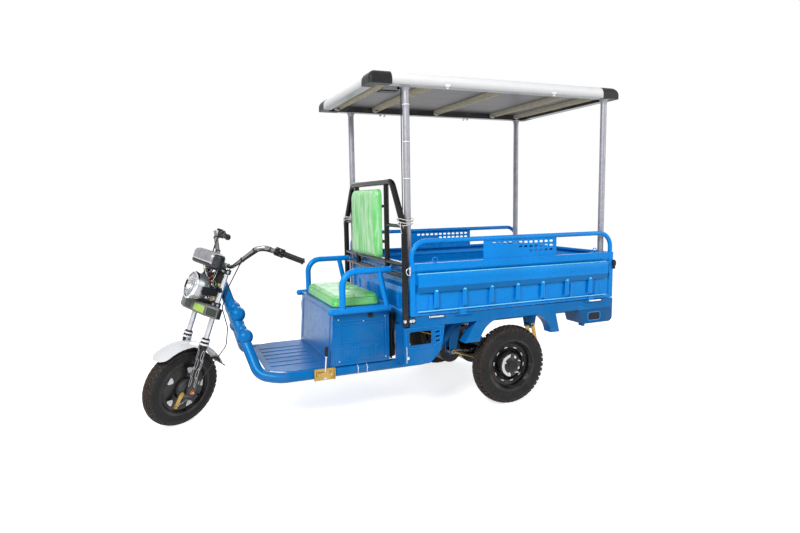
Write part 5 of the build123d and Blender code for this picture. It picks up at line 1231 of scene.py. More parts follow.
class TRICYCLE_OT_controls(TricycleTool, Operator):
    """Makes the fittings of the handlebar: switches, levers' ends, grip flanges and the cables"""

    bl_idname = "tricycle.controls"
    bl_label = "Controls"
    body = "steering"

    def make(self, context):
        self.boxes()
        self.grips()
        self.cables()

    @staticmethod
    def grip_place(side, back):
        """A place on the grip's axis, measured back from the tip: z along the grip towards its tip."""
        tip, bend = Vector(BAR[-1]), Vector(BAR[-2])
        way = (tip - bend).normalized()
        spot = tip - way * back
        return steer_aim(spot.x, side * spot.y, spot.z, (way.x, side * way.y, way.z))

    def boxes(self):
        """Seams and buttons of the switch boxes, and the levers' clamps."""
        seams, buttons = Form("switch_seams", "gloss"), Form("switch_buttons", "housing", 0.0006, slot="grey_plastic")
        clamps = Form("lever_clamps", "trim")
        for side in SIDES:
            box = self.grip_place(side, 148)
            turn = box.to_3x3()
            outline = mm(rounded_outline(51.2, 41.2, 8.4, 5))
            seams.prism(outline, -0.0008, 0.0008, box)
            for way in SIDES:
                seams.prism([(x * 1.02, y * 1.02) for x, y in outline], way * 0.0215 - 0.0012, way * 0.0215 + 0.0012,
                            box)
            for i, (up, size) in enumerate(((0.012, 0.0065), (-0.003, 0.005), (-0.0155, 0.0045))):
                for face in SIDES:
                    spot = box @ Vector((up, face * 0.0203, 0.004 * (i - 1)))
                    buttons.prism([(x * size, y * size) for x, y in rounded_outline(2, 1.4, 0.3)], 0.0, 0.003,
                                  aim(spot, turn @ Vector((0, face, 0)), turn @ REAR))
            band = self.grip_place(side, 174)
            clamps.turned(band, ring(11.2, 15.5, -5, 5, 1.2), 28)
            clamps.bolt(aim((band @ Vector((0.0, 0.016, 0.0))), band.to_3x3() @ RIGHT, UP), 0.008, 0.004, 0)

    def grips(self):
        form = Form("grip_rings", "grip")
        for side in SIDES:
            place = self.grip_place(side, 0)
            form.turned(place, ring(0, 20.0, -3.5, 3.6, 2.0), 36)
            for i in range(26):
                form.turned(place, ring(16.0, 17.15, -12 - i * 4.1, -9.6 - i * 4.1, 0.6), 36)
            form.turned(place, ring(16.0, 20.5, -122.0, -117.5, 1.5), 36)

    def cables(self):
        """Sheathed cables along both bars, two that rise in an arc from the right lever, and their ties."""
        runs, ties = [], Form("bar_ties", "cable")
        for side in SIDES:
            for drop, ahead in ((-15, -3), (-16, 6)):
                run = [on_bar(way, side, drop, ahead) for way in (0.70, 0.6, 0.5, 0.42, 0.34, 0.26, 0.18)]
                runs.append([*run, steer_mm(-20, side * 66, 172), steer_mm(-34 - ahead, side * 52, 118)])
            for way in (0.62, 0.45, 0.27):
                a, b = on_bar(way - 0.012, side, -3), on_bar(way + 0.012, side, -3)
                ties.turned(aim(a, b - a), ring(13.6, 15.6, 0, 6, 0.8), 24)
        lift = [(164, 262, 342), (120, 232, 356), (66, 192, 340), (20, 150, 300), (-14, 112, 252), (-34, 84, 206),
                (-40, 66, 160)]
        runs.append([steer_mm(*p) for p in lift])
        runs.append([steer_mm(x + 10, y + 8, z - 22) for x, y, z in lift[:-1]] + [steer_mm(-34, 58, 132)])
        wires("bar_cables", runs, 5.5, "cable")


# ---------------------------------------------------------------- upholstery


class TRICYCLE_OT_cushions(TricycleTool, Operator):
    """Blows up the seat and the back cushion, folds their loose film and pipes the seat's edge"""

    bl_idname = "tricycle.cushions"
    bl_label = "Cushions"

    def make(self, context):
        seat_low, seat_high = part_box("seat_cushion")
        seat = self.blown(context, "seat_cushion", Vector(((seat_low.x + seat_high.x) / 2, 0, seat_low.z)),
                          (0.992, 0.99, 0.66),
                          lambda p: min(1.0, max(0.0, (p.z - seat_low.z - 0.006) / 0.03)))
        self.fold(seat, seat_low.z + 0.012, "z", (15, 22, 26), 0.0026)
        tree = self.tree(seat)
        middle = ((seat_low.x + seat_high.x) / 2, 0.0)
        half = ((seat_high.x - seat_low.x) / 2, (seat_high.y - seat_low.y) / 2)
        rings = [[self.hit(tree, (middle[0] + half[0] * 0.45 * cos(a), half[1] * 0.45 * sin(a), z),
                           (half[0] * cos(a), half[1] * sin(a), 0)) for a in self.turns()] for z in
                 (seat_low.z + 0.047,)]
        self.finish_pad(seat, "seat_pad", "seat_film", "seat_lid", "seat_cushion")
        wires("seat_piping", rings, 4.0, "piping", "seat_lid")

        low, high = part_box("backrest_cushion")
        back = self.blown(context, "backrest_cushion", Vector((high.x, 0, (low.z + high.z) / 2)),
                          (0.66, 0.995, 0.985),
                          lambda p: min(1.0, max(0.0, (high.x - 0.004 - p.x) / 0.02)))
        self.fold(back, high.x - 0.008, "x", (24, 30, 4.5), 0.0034)
        self.finish_pad(back, "back_pad", "back_film", "chassis", "backrest_cushion")

    @staticmethod
    def turns():
        return [2 * pi * i / 96 for i in range(97)]

    @staticmethod
    def tree(piece):
        from mathutils.bvhtree import BVHTree
        mesh = piece.data
        return BVHTree.FromPolygons([v.co for v in mesh.vertices], [tuple(p.vertices) for p in mesh.polygons])

    @staticmethod
    def hit(tree, start, way):
        spot = tree.ray_cast(Vector(start), Vector(way).normalized())[0]
        return tuple(spot if spot is not None else Vector(start) + Vector(way) * 0.5)

    def blown(self, context, node, anchor, scale, freedom):
        """The cushion's mesh, a little smaller, remeshed and blown up as cloth with a cap on every point's way."""
        source = frame["nodes"][node]
        mesh = source.data.copy()
        mesh.materials.clear()
        mesh.transform(Matrix.Translation(anchor) @ Matrix.Diagonal((*scale, 1)) @ Matrix.Translation(-anchor)
                       @ source.matrix_world)
        piece = bpy.data.objects.new(f"{node}_soft", mesh)
        context.scene.collection.objects.link(piece)
        grid = piece.modifiers.new("grid", "REMESH")
        grid.mode, grid.voxel_size = "VOXEL", sizes().cushion_voxel
        self.bake(context, piece)
        rest = [v.co.copy() for v in piece.data.vertices]
        cloth = piece.modifiers.new("cloth", "CLOTH").settings
        cloth.use_pressure, cloth.uniform_pressure_force = True, 4.0
        cloth.effector_weights.gravity = 0.0
        for step in range(1, 21):
            context.scene.frame_set(step)
        self.bake(context, piece)
        context.scene.frame_set(1)
        reach = sizes().cushion_rise
        for vertex, start in zip(piece.data.vertices, rest):
            way = vertex.co - start
            if way.length > reach:
                way *= reach / way.length
            vertex.co = start + way * freedom(start)
        soft = piece.modifiers.new("soft", "SUBSURF")
        soft.levels = soft.render_levels = 1
        self.bake(context, piece)
        return piece

    @staticmethod
    def bake(context, piece):
        """Replaces the piece's mesh with its modifiers' result."""
        result = bpy.data.meshes.new_from_object(piece.evaluated_get(context.evaluated_depsgraph_get()))
        piece.modifiers.clear()
        piece.data = result

    @staticmethod
    def fold(piece, limit, axis, scale, depth):
        """Loose film: sharp shallow folds over every face but the one that rests on something."""
        normals = [v.normal.copy() for v in piece.data.vertices]
        for vertex, out in zip(piece.data.vertices, normals):
            p = vertex.co
            free = (p.z - limit) / 0.012 if axis == "z" else (limit - p.x) / 0.012
            free = min(1.0, max(0.0, free))
            q = Vector((p.x * scale[0], p.y * scale[1], p.z * scale[2]))
            bend = noise.noise(q * 0.35) * 2.0
            crest = 1.0 - abs(noise.noise(q + Vector((bend, bend, bend)))) * 2.4
            small = 1.0 - abs(noise.noise(q * 2.3 + Vector((3, 1, bend)))) * 2.0
            vertex.co = p + out * (depth * free * (max(-0.4, crest) * 0.7 + max(-0.3, small) * 0.3 - 0.2))

    def finish_pad(self, piece, name, finish, body, node):
        piece.name = name
        piece.data.materials.clear()
        piece.data.materials.append(FINISHES[finish])
        piece.data.shade_smooth()
        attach(piece, body)
        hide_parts(node)


# ---------------------------------------------------------------- seat, brake lever and backrest


def flank(side, x, y, z, along=None):
    """A place on a left or right face, facing away from the middle."""
    return aim((x, side * y, z), (0, side, 0), along)


class TRICYCLE_OT_seat(TricycleTool, Operator):
    """Makes the lock, ties, wires and bolts about the seat, the parking brake's fittings and the backrest's strap"""

    bl_idname = "tricycle.seat"
    bl_label = "Seat fittings"

    def make(self, context):
        self.parking_brake()
        self.box_fittings()
        self.backrest()

    def parking_brake(self):
        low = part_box("parking_brake")[0]
        face, rail = low.y, low.z + 0.033
        root, tip = Vector((-0.488, -0.3923, rail)), Vector((-0.475, -0.3923, rail + 0.152))
        way, out = (tip - root).normalized(), (0, -1, 0)
        Form("brake_lever_knob", "plastic").turned(aim(tip - way * 0.05, way), [
            (0, 0), (6.4, 0), (8.9, 3), (9.4, 14), (9.2, 30), (10.4, 44), (9.6, 51), (6, 54), (0, 54.6)], 28)
        rod = Form("brake_lever_rod", "zinc")
        rod.rod(root, tip - way * 0.05, 0.0046)
        rod.turned(aim(tip - way * 0.058, way), ring(0, 7.5, 0, 9, 2), 20)
        bolts = Form("parking_brake_bolts", "zinc")
        for x, z in ((-0.522, 0.0), (-0.456, 0.0), (-0.488, -0.018)):
            bolts.bolt(aim((x, face + 0.009, rail + z), out), 0.013, 0.006, 0.0015, 0.005)
        bolts.dome(aim((-0.47, face + 0.01, rail + 0.013), out), 0.006, 0.005)
        teeth = [(r * cos(a), r * sin(a)) for r, a in zip((0.017, 0.01904) * 10, circle(20))]
        Form("parking_brake_ratchet", "brass", 0.0004).prism(teeth, 0.0, 0.004,
                                                             aim((-0.489, face + 0.010, rail + 0.002), out))

    def box_fittings(self):
        """Lock, screws, ties and creases on the sides of the seat box, and the wires behind it."""
        lock, screws = Form("seat_box_locks", "plastic", 0.0008), Form("seat_box_screws", "zinc")
        ties, loom = Form("rail_ties", "white_nylon"), Form("loom_cover", "plastic", 0.003)
        runs, creases, drops = [], [], []
        side_face = abs(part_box("seat_box")[0].y)
        for side in SIDES:
            place = flank(side, -0.209, side_face, 0.611, AHEAD)
            lock.plate(place, 28, 21, 4, -1, 5)
            lock.turned(place, ring(0, 8.0, 4.5, 9.5, 1.2), 24)
            for x, z in ((-0.252, 0.582), (-0.40, 0.60), (-0.12, 0.60), (-0.40, 0.36), (-0.12, 0.36)):
                screws.dome(flank(side, x, side_face, z), 0.0042, 0.0026)
            for x in (-0.291, -0.236):
                ties.turned(aim((x, side * 0.355, 0.301), AHEAD), ring(30.2, 31.9, -1.8, 1.8, 0.5), 36)
                ties.plate(flank(side, x, 0.3865, 0.312), 6, 5, 1, 0, 7)
            for k, (dx, dy) in enumerate(((0, 0), (9, 8), (-7, 12), (4, -9), (12, 20))):
                x, y = -0.074 + dx / 1000, 0.34 - dy / 1000
                runs.append([(x + ahead, side * (y - inward), z) for ahead, inward, z in (
                    (0, 0, 0.332), (0.006, 0.01, 0.39), (-0.008, -0.006, 0.45), (0.007, 0.006, 0.52),
                    (0.002 * k, 0, 0.585), (0.03, 0.02, 0.60))])
            loom.prism(rounded_outline(0.052, 0.262, 0.01), -0.012, 0.012, flank(side, -0.062, 0.313, 0.468, AHEAD))
            y = side * 0.3832
            creases += [[(x0, y, z0), ((x0 + x1) / 2, y, (z0 + z1) / 2), (x1, y, z1)]
                        for x0, z0, x1, z1 in (
                            (-0.43, 0.571, -0.125, 0.571), (-0.405, 0.434, -0.17, 0.434),
                            (-0.345, 0.36, -0.345, 0.426),
                            (-0.284, 0.36, -0.284, 0.426), (-0.206, 0.36, -0.206, 0.426),
                            (-0.435, 0.35, -0.435, 0.60), (-0.117, 0.35, -0.117, 0.60))]
            drops.append([(-0.058, side * 0.552, 0.445), (-0.056, side * 0.554, 0.40), (-0.058, side * 0.552, 0.352)])
        wires("seat_box_wires", runs, 8.0, "cable")
        # painted highlight: the creases keep the lighter blue paint on the seat box's shaded paint
        wires("seat_box_creases", creases, 3.6, "paint")
        wires("step_box_ties", drops, 4.0, "white_nylon")

    def backrest(self):
        """Foot bolts, the brackets' welds and the strap to the canopy's post."""
        bolts, welds, strap = Form("backrest_bolts", "zinc"), Form("backrest_welds", "trim"), []
        for side in SIDES:
            for x in (-0.066, -0.030, -0.015):
                bolts.bolt(flank(side, x, 0.5533, 0.590), 0.012, 0.0055, 0.0015, 0.003)
            for z in (0.842, 0.905):
                welds.turned(flank(side, -0.055, 0.5125, z), ring(12.6, 15.0, 0, 5, 2), 28)
            for k, z in enumerate((1.128, 1.142, 1.156)):
                reach_x, reach_y = 0.041 + 0.0022 * k, 0.95 * (0.048 + 0.0016 * k)
                strap.append([(-0.036 + reach_x * cos(a), side * (0.506 + reach_y * sin(a)),
                               z + 0.006 * sin(a * 2 + k))
                              for a in (*circle(24), 2 * pi)])
            strap.append([(-0.075, side * 0.53, 1.142), (-0.078, side * 0.532, 1.11), (-0.07, side * 0.54, 1.075),
                          (-0.061, side * 0.545, 1.045)])
        wires("backrest_strap", strap, 4.5, "strap")


# ---------------------------------------------------------------- cargo bed


HINGES = (0.128, 1.262)
HINGE_Y, HINGE_Z = 0.5575, 0.604
CORNER = (1.262, 0.5)
SUNK, PROUD = 0.5535, 0.5625
LATCH_Y, LATCH_Z = 0.47, 0.842
LAMP_Y, LAMP_Z = 0.48, 0.505
POSTS, POST_Y = (-0.015, 1.355), 0.488
AXLE_X, SPRING_Y = 0.65, 0.34


class TRICYCLE_OT_bed(TricycleTool, Operator):
    """Makes the hinges' pins, latches, hooks, ribs and lamp screws of the cargo bed"""

    bl_idname = "tricycle.bed"
    bl_label = "Cargo bed"

    def make(self, context):
        for side in SIDES:
            self.gate(side, SIDE_NAMES[side])
        self.tail()
        self.under()

    def gate(self, side, name):
        """One side gate: hooks on its top rail, its pressed face with painted highlights on its creases and rib tips
        and painted shade on the band below its upper panel, and latch bits at its front and rear.
        """
        body = f"side_gate_{name}"

        def form(piece, finish, bevel=0.0):
            return Form(f"gate_{piece}_{name}", finish, bevel, body)

        hooks = []
        for x in HINGES:
            y, z = side * 0.5405, 0.9125
            hooks.append([(x + 0.016 * cos(a), y, z + 0.011 + 0.016 * sin(a))
                          for a in (*circle(14, -0.6), 2 * pi - 0.6)])
            hooks.append([(x - 0.036, y - side * 0.004, z + 0.0005), (x - 0.02, y, z + 0.003),
                          (x - 0.004, y, z + 0.004)])
        wires(f"gate_hooks_{name}", hooks, 6.0, "paint", body)
        creases, panel, band = form("creases", "bright_paint"), form("panel", "paint"), form("band", "deep_paint")
        bows = [(0.0068 * share, 0.0088 * sin(pi * share) ** 0.6) for share in (0.0, 0.25, 0.5, 0.75, 1.0)]
        for face, base, ends, profile in (
            # painted highlight: the creases are strips in the highlight paint
            (creases, SUNK, (0.012, 0.02, 1.335, 1.345), [(0.8471 + rise, out) for rise, out in bows]),
            (creases, SUNK, (0.012, 0.02, 1.335, 1.345), [(0.6336 + rise, out) for rise, out in bows]),
            (panel, PROUD, (0.014, 0.02, 1.355, 1.361), ((0.774, -0.0035), (0.776, -0.0018), (0.780, -0.0012),
                                                         (0.842, -0.0012), (0.847, -0.003), (0.850, -0.0075))),
            # painted shade: the band, a slope that faces down, is in the shaded copy of the paint
            (band, PROUD, (0.014, 0.02, 1.355, 1.361), ((0.7405, -0.0108), (0.743, -0.0088), (0.770, -0.0042),
                                                        (0.775, -0.0034))),
        ):
            face.skin([face.row([(x, side * (base + out), z) for x in ends]) for z, out in profile], around=False)
        # painted highlight: the ribs' tips are domes in the highlight paint
        ribs, tips = form("ribs", "paint"), form("rib_tips", "bright_paint")
        arch = [pi * k / 10 for k in range(11)]
        for x in (0.129 + 0.1818 * i for i in range(7)):
            ribs.skin([ribs.row([(x - half * cos(a), side * (SUNK + (high + 0.0015) * sin(a) ** 0.7), z)
                                 for a in arch])
                       for z, half, high in ((0.652, 0.019, 0.0), (0.656, 0.018, 0.0035), (0.67, 0.0175, 0.0062),
                                             (0.74, 0.0145, 0.0075), (0.75, 0.013, 0.007), (0.757, 0.009, 0.004),
                                             (0.759, 0.006, 0.0))], around=False)
            tips.dome(aim((x, side * 0.5598, 0.7505), (0, side, 0.8), AHEAD) @ Matrix.Diagonal((1.3, 0.8, 1, 1)),
                      0.0066, 0.003)
        cap, catch = form("latch_cap", "plastic", 0.0015), form("catch", "zinc")
        cap.plate(flank(side, 1.411, 0.553, 0.828, UP), 60, 16, 6, -7, 7)
        cap.plate(flank(side, 1.411, 0.553, 0.835, UP), 30, 24, 6, -7, 9)
        face = side * HINGE_Y
        for z in (0.862, 0.882):
            catch.rod((-0.034, face - side * 0.006, z), (-0.034, face + side * 0.004, z), 0.005)
        catch.rod((-0.034, face, 0.845), (-0.034, face, 0.897), 0.0044)
        loop = [(x, face, z) for x, z in ((-0.035, 0.892), (-0.054, 0.884), (-0.058, 0.866), (-0.046, 0.846),
                                          (-0.035, 0.85))]
        wires(f"gate_catch_loop_{name}", [loop], 5.0, "zinc", body)

    def tail(self):
        """Tailgate latches with their handles, and the rear lamps' frames and screws."""
        handles = Form("tailgate_handles", "plastic", 0.0015, "tailgate")
        bits = Form("tailgate_latch_bolts", "zinc", body="tailgate")
        screws, frames = Form("lamp_screws", "zinc"), Form("lamp_frames", "plastic")
        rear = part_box("tailgate")[1].x
        outer, inner = rounded_outline(0.112, 0.064, 0.008), rounded_outline(0.103, 0.055, 0.006)
        for side in SIDES:
            y = side * LATCH_Y
            handles.rod((rear - 0.004, y, LATCH_Z), (rear + 0.009, y, LATCH_Z), 0.009)
            handles.plate(aim((rear + 0.004, y, 0.822), AHEAD, UP), 50, 16, 6, 0, 6)
            bits.bolt(aim((rear, y, LATCH_Z), AHEAD), 0.014, 0.006, 0.001)
            for dy in (-0.035, 0.035):
                screws.dome(aim((1.419, side * LAMP_Y + dy, LAMP_Z), AHEAD), 0.0042, 0.0024)
            place = aim((1.408, side * LAMP_Y, LAMP_Z), AHEAD, RIGHT)
            frames.skin([frames.row([(a, b, h) for a, b in line], place)
                         for line, h in ((outer, 0.002), (outer, 0.0085), (inner, 0.0095), (inner, 0.002))])

    def under(self):
        """Hinge pins, the recessed corner plates, rims and beads of the step boxes, and bolts."""
        bolts, pins = Form("bed_bolts", "zinc"), Form("hinge_pins", "zinc")
        # painted highlight: the rims keep the lighter blue paint on the boxes' shaded paint
        recess, frames = Form("corner_recess_plates", "plastic"), Form("opening_rims", "paint", sharp=60)
        beads, hooks = [], []
        for side in SIDES:
            y = side * HINGE_Y
            for x in HINGES:
                pins.rod((x - 0.042, y, HINGE_Z), (x + 0.042, y, HINGE_Z), 0.0058)
                for dx in (-0.046, 0.046):
                    pins.dome(aim((x + dx, y, HINGE_Z), (dx, 0, 0)), 0.0078, 0.004)
            recess.prism(rounded_outline(0.092, 0.046, 0.012), -0.0095, 0.0006,
                         flank(side, CORNER[0], 0.548, CORNER[1], AHEAD))
            bolts.bolt(flank(side, -0.05, 0.551, 0.379), 0.012, 0.005, 0.001)
            beads.append([(x, side * 0.5485, z) for x, z in (
                (-0.058, 0.545), (0.06, 0.546), (0.168, 0.545), (0.176, 0.51), (0.162, 0.462), (0.128, 0.438),
                (0.06, 0.432), (-0.02, 0.432), (-0.056, 0.436), (-0.058, 0.47), (-0.058, 0.53))])
            hooks.append([(1.15 + 0.016 * cos(a), side * 0.5487, 0.562 + 0.012 * sin(a))
                          for a in (*circle(10), 2 * pi)])
            hooks.append([(1.165, side * 0.5487, 0.556), (1.185, side * 0.5487, 0.558),
                          (1.205, side * 0.5487, 0.553)])
        for side in SIDES:
            self.rim(frames, side, *CORNER, 0.092, 0.046, 0.012, 0.008)
        for side in SIDES:
            for z in (0.513, 0.487, 0.461):
                self.rim(frames, side, 0.137, z, 0.032, 0.014, 0.004, 0.004)
        # painted highlight: beads and hooks keep the lighter blue paint on the boxes' shaded paint
        wires("step_box_beads", beads, 5.0, "paint")
        wires("corner_hooks", hooks, 4.8, "paint")

    @staticmethod
    def rim(form, side, x, z, wide, tall, radius, width):
        """A raised rim round an opening in a side face."""
        place = flank(side, x, 0.5477, z, AHEAD)
        rows = []
        for out, high in ((0.0, -0.002), (0.0, 0.002), (0.25, 0.0033), (0.75, 0.0033), (1.0, 0.0), (1.0, -0.002)):
            grow = width * out
            line = rounded_outline(wide + 2 * grow, tall + 2 * grow, radius + grow, 5)
            rows.append(form.row([(a, b, high) for a, b in line], place))
        form.skin(rows)


# ---------------------------------------------------------------- canopy


class TRICYCLE_OT_canopy(TricycleTool, Operator):
    """Makes the junction box, wires, clips and bolts under the canopy, and the posts' feet"""

    bl_idname = "tricycle.canopy"
    bl_label = "Canopy"

    def make(self, context):
        self.panel_wiring()
        clips, feet = Form("canopy_clips", "white_nylon", 0.0006), Form("post_feet", "channel", 0.001)
        bolts, down = Form("canopy_bolts", "zinc"), (0, 0, -1)
        for z in (1.78, 1.58, 1.38):
            clips.turned(aim((POSTS[0], -POST_Y, z), UP), ring(19.2, 21.4, -3, 3, 0.8), 32)
        for side in SIDES:
            for x in (-0.12, 0.16, 0.64, 1.12, 1.34):
                clips.plate(aim((x, side * 0.46, 1.8905), down, AHEAD), 34, 20, 3, 0, 4)
                bolts.bolt(aim((x, side * 0.46, 1.8865), down), 0.010, 0.004, 0.001)
            for x in POSTS:
                foot = aim((x, side * POST_Y, 0.612), UP)
                feet.plate(foot, 62, 50, 8, 0, 5)
                feet.turned(foot, ring(19.0, 23.5, 5, 12, 4), 32)
                feet.turned(aim((x, side * POST_Y, 1.878), down), ring(19.0, 27.5, -0.5, 3.0), 36)
                for dx in (-0.024, 0.024):
                    bolts.bolt(aim((x + dx, side * POST_Y, 0.617), UP), 0.009, 0.004, 0.001)
        for x in (0.221, 0.937):
            for side in SIDES:
                clips.plate(flank(side, x, 0.5285, 1.886, AHEAD), 26, 14, 3, -4, 10)
                clips.plate(flank(side, x, 0.5275, 1.8785, AHEAD), 12, 20, 3, -4, 6)
        # painted shade: a near-black strip inside the far edge, under the canopy
        Form("canopy_far_shade_strip", "plastic").block((-0.18, 0.486, 1.8865), (1.40, 0.4895, 1.9145))

    @staticmethod
    def panel_wiring():
        """The junction box under the panel with its wires, and two hooks on the far side."""
        box, place = Form("junction_box", "plastic", 0.0015), aim((-0.03, -0.257, 1.9162), (0, 0, -1), AHEAD)
        box.plate(place, 118, 84, 8, 0, 26)
        box.plate(place, 100, 66, 6, 26, 30)
        for x in (-0.08, 0.02):
            box.rod((x, -0.307, 1.902), (x, -0.289, 1.902), 0.007)
        red = [(-0.08, -0.305, 1.902), (-0.09, -0.33, 1.895), (-0.10, -0.38, 1.899), (-0.092, -0.43, 1.896),
               (-0.06, -0.462, 1.90), (-0.02, -0.468, 1.893)]
        black = [[(0.02, -0.305, 1.902), (0.03, -0.34, 1.895), (0.02, -0.39, 1.899), (-0.01, -0.44, 1.895),
                  (-0.03, -0.468, 1.89)],
                 [(-0.03, -0.468, 1.89), (-0.038, -0.476, 1.86), (-0.0365, -0.472, 1.80), (-0.036, -0.47, 1.6),
                  (-0.036, -0.47, 1.4), (-0.0365, -0.471, 1.2)]]
        wires("canopy_wire_red", [red], 6.0, "red_wire")
        wires("canopy_wires_black", black, 6.0, "cable")
        hooks = [[(x, 0.50, 1.882), (x + 0.004, 0.502, 1.868), (x - 0.004, 0.504, 1.862), (x - 0.010, 0.504, 1.868)]
                 for x in (0.245, 0.892)]
        wires("canopy_hooks", hooks, 5.0, "cable")


# ---------------------------------------------------------------- running gear


class TRICYCLE_OT_running_gear(TricycleTool, Operator):
    """Makes the wheels' caps, studs and dish lines, the springs' clamps and the motor's fins and lead"""

    bl_idname = "tricycle.running_gear"
    bl_label = "Running gear"

    def make(self, context):
        for side in SIDES:
            self.wheel(SIDE_NAMES[side], side)
        self.front_faces()
        self.valves()
        self.springs()
        self.motor()

    @staticmethod
    def wheel(name, side):
        """A rear wheel's cap, its blank crescent and bars, four studs, and the ridges and slots of its dish."""
        joint, body, _, _ = WHEELS[name]
        place = aim(JOINTS[joint]["pos_m"], (0, side, 0), UP)
        cap, studs = Form(f"hub_cap_{name}", "trim", 0.0, body), Form(f"hub_studs_{name}", "zinc", 0.0, body)
        badge = Form(f"hub_badge_{name}", "steel", 0.0008, body)
        slots = Form(f"dish_slots_{name}", "steel", 0.0, body)
        ridges = Form(f"dish_ridges_{name}", "trim", 0.0, body)
        cap.turned(place, [(28, 44), (31, 40), (60, 37), (69, 34.5), (74, 29), (76, 19), (76, -10), (70, -10),
                           (28, 36), (28, 44)], 56)

        def at(rear, up):
            return up / 1000, side * rear / 1000

        def around(radius, degrees):
            return at(radius * cos(radians(degrees)), radius * sin(radians(degrees)))

        for turn in (64, -24, -112, 156):
            studs.bolt(place @ Matrix.Translation((*around(52, turn), 0.037)), 0.013, 0.006, 0.001, 0.004)
        crescent = [around(70, t) for t in range(96, 272, 8)] + [around(43, t) for t in range(264, 98, -8)]
        badge.prism(crescent, 0.0335, 0.0405, place)
        for x0, z0, x1, z1 in ((-4, 41, 62, 20), (-14, -40, 50, -50)):
            badge.prism([at(x0, z0 + 5), at(x1, z1 + 4), at(x1 + 2, z1 - 3), at(x0, z0 - 5)], 0.0345, 0.0408, place)
        for r, h in ((88, -6), (101, 2), (112, 7.5), (126, 9.3)):
            ridges.turned(place, [(r - 2.2, h - 1.2), (r - 1, h + 1.4), (r + 1, h + 1.4), (r + 2.2, h - 1.2),
                                  (r - 2.2, h - 1.2)], 64)
        for turn in circle(10, 0.2):
            slots.prism(rounded_outline(0.006, 0.022, 0.0025), -0.003, 0.0022,
                        place @ Matrix.Rotation(turn, 4, "Z") @ Matrix.Translation((0.1065, 0, 0.0045)))

    @staticmethod
    def front_faces():
        """The front wheel's dished faces with five bright insets each."""
        face = Form("front_wheel_faces", "trim", 0.0, "front_wheel")
        insets = Form("front_wheel_insets", "silver", 0.001, "front_wheel", "white_aluminium")
        half = [(94, 9), (112, 20), (118, 20), (121, 15)]
        outline = mm([(90, -3), *((x, -y) for x, y in half), (122, 0), *half[::-1], (90, 3)])
        for side in SIDES:
            disc = steer_aim(LEG[0], 0, AXLE_Z, (0, side, 0), AHEAD)
            face.turned(disc, [(64, 31), (70, 33), (84, 31), (103, 28.6), (122, 27), (136, 24), (143, 20), (143, 16),
                               (136, 19), (84, 25), (64, 26), (64, 31)], 72)
            for turn in circle(5, 0.3):
                insets.prism(outline, 0.0265, 0.0306, disc @ Matrix.Rotation(turn, 4, "Z"))

    @staticmethod
    def valves():
        for name, (joint, body, _, _) in WHEELS.items():
            side = 1 if name == "right" else -1
            hub, axis = Vector(JOINTS[joint]["pos_m"]), Vector(JOINTS[joint]["axis"]).normalized()
            out = axis * (side if axis.y > 0 else -side)
            turned = Matrix.Rotation(2.2, 3, axis) @ (UP - axis * UP.dot(axis)).normalized()
            start = hub + turned * 0.137 + out * 0.012
            stem = Form(f"valve_{name}", "plastic", 0.0, body, "black_rubber")
            stem.rod(start, start + (out * 0.8 - turned * 0.5).normalized() * 0.034, 0.004)

    @staticmethod
    def springs():
        """Clamps and bolts round the leaves, with their nuts below."""
        clamps, nuts = Form("spring_clamps", "trim", 0.001), Form("spring_clamp_nuts", "zinc")
        for y in (-SPRING_Y, SPRING_Y):
            for x in (AXLE_X - 0.045, AXLE_X + 0.045):
                for dy in (-0.03, 0.03):
                    clamps.rod((x, y + dy, 0.205), (x, y + dy, 0.318), 0.0055)
                    nuts.bolt(aim((x, y + dy, 0.208), (0, 0, -1)), 0.016, 0.009, 0.002, 0.006)
                clamps.rod((x, y - 0.03, 0.315), (x, y + 0.03, 0.315), 0.0055)
            clamps.plate(aim((AXLE_X, y, 0.216), (0, 0, -1), AHEAD), 120, 78, 6, 0, 7)
            for x in (0.5, 0.8):
                clamps.block((x - 0.012, y - 0.0275, 0.288), (x + 0.012, y + 0.0275, 0.322))

    @staticmethod
    def motor():
        """The motor's cooling fins and its lead, forwards under the bed."""
        fins = Form("motor_fins", "cast")
        low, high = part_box("motor")
        x, z, radius = (low.x + high.x) / 2, (low.z + high.z) / 2, (high.x - low.x) * 500
        for k in range(9):
            fins.turned(aim((x, 0.045 + 0.011 * k, z), RIGHT), ring(radius - 6, radius + 4.5, -1.6, 1.6, 0.6), 48)
        wires("motor_lead", [[(x - 0.03, 0.06, high.z - 0.004), (x - 0.05, 0.05, high.z + 0.05),
                              (0.30, 0.03, high.z + 0.12),
                              (0.18, 0.01, 0.50), (0.05, 0.0, 0.53), (-0.03, 0.0, 0.535)]], 13.0, "cable")


# ---------------------------------------------------------------- panel and registration


class TRICYCLE_PT_panel(Panel):
    """Lists the steps and the values that they use"""

    bl_idname = "TRICYCLE_PT_panel"
    bl_label = "Electric Cargo Tricycle"
    bl_space_type = "VIEW_3D"
    bl_region_type = "UI"
    bl_category = "Tricycle"

    def draw(self, context):
        layout = self.layout
        for title, group in (("Sizes", context.scene.tricycle_sizes), ("Colours", context.scene.tricycle_colours)):
            box = layout.box()
            box.label(text=title)
            for name in group.__annotations__:
                box.prop(group, name)
        steps = layout.column(align=True)
        for operator in STEPS:
            steps.operator(operator.bl_idname)


STEPS = (
    TRICYCLE_OT_finishes,
    TRICYCLE_OT_stage,
    TRICYCLE_OT_tyres,
    TRICYCLE_OT_fork,
    TRICYCLE_OT_head,
    TRICYCLE_OT_controls,
    TRICYCLE_OT_cushions,
    TRICYCLE_OT_seat,
    TRICYCLE_OT_bed,
    TRICYCLE_OT_canopy,
    TRICYCLE_OT_running_gear,
)
GROUPS = (TricycleSizes, TricycleColours)


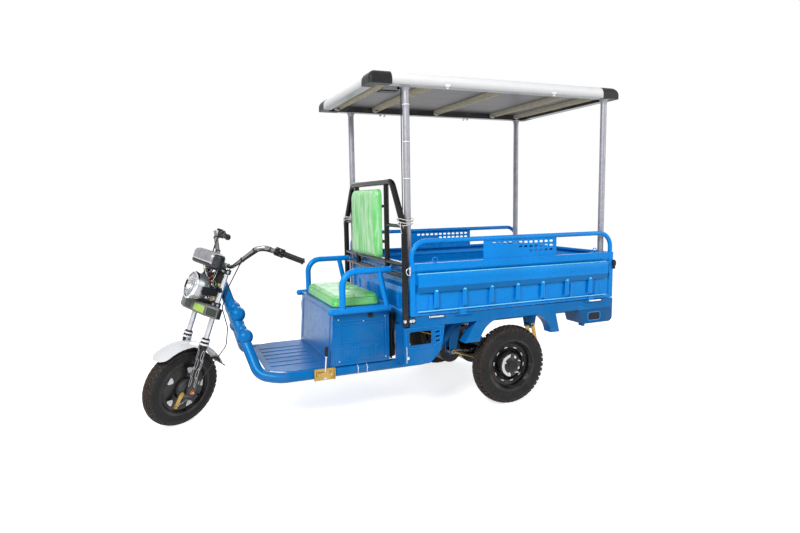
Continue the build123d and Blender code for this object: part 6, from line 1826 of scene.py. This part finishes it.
def register():
    for entry in (*GROUPS, *STEPS, TRICYCLE_PT_panel):
        bpy.utils.register_class(entry)
    bpy.types.Scene.tricycle_sizes = PointerProperty(type=TricycleSizes)
    bpy.types.Scene.tricycle_colours = PointerProperty(type=TricycleColours)


def unregister():
    del bpy.types.Scene.tricycle_colours
    del bpy.types.Scene.tricycle_sizes
    for entry in reversed((*GROUPS, *STEPS, TRICYCLE_PT_panel)):
        bpy.utils.unregister_class(entry)


def main():
    register()
    for operator in STEPS:
        group, name = operator.bl_idname.split(".")
        getattr(getattr(bpy.ops, group), name)()


if __name__ == "__main__":
    main()
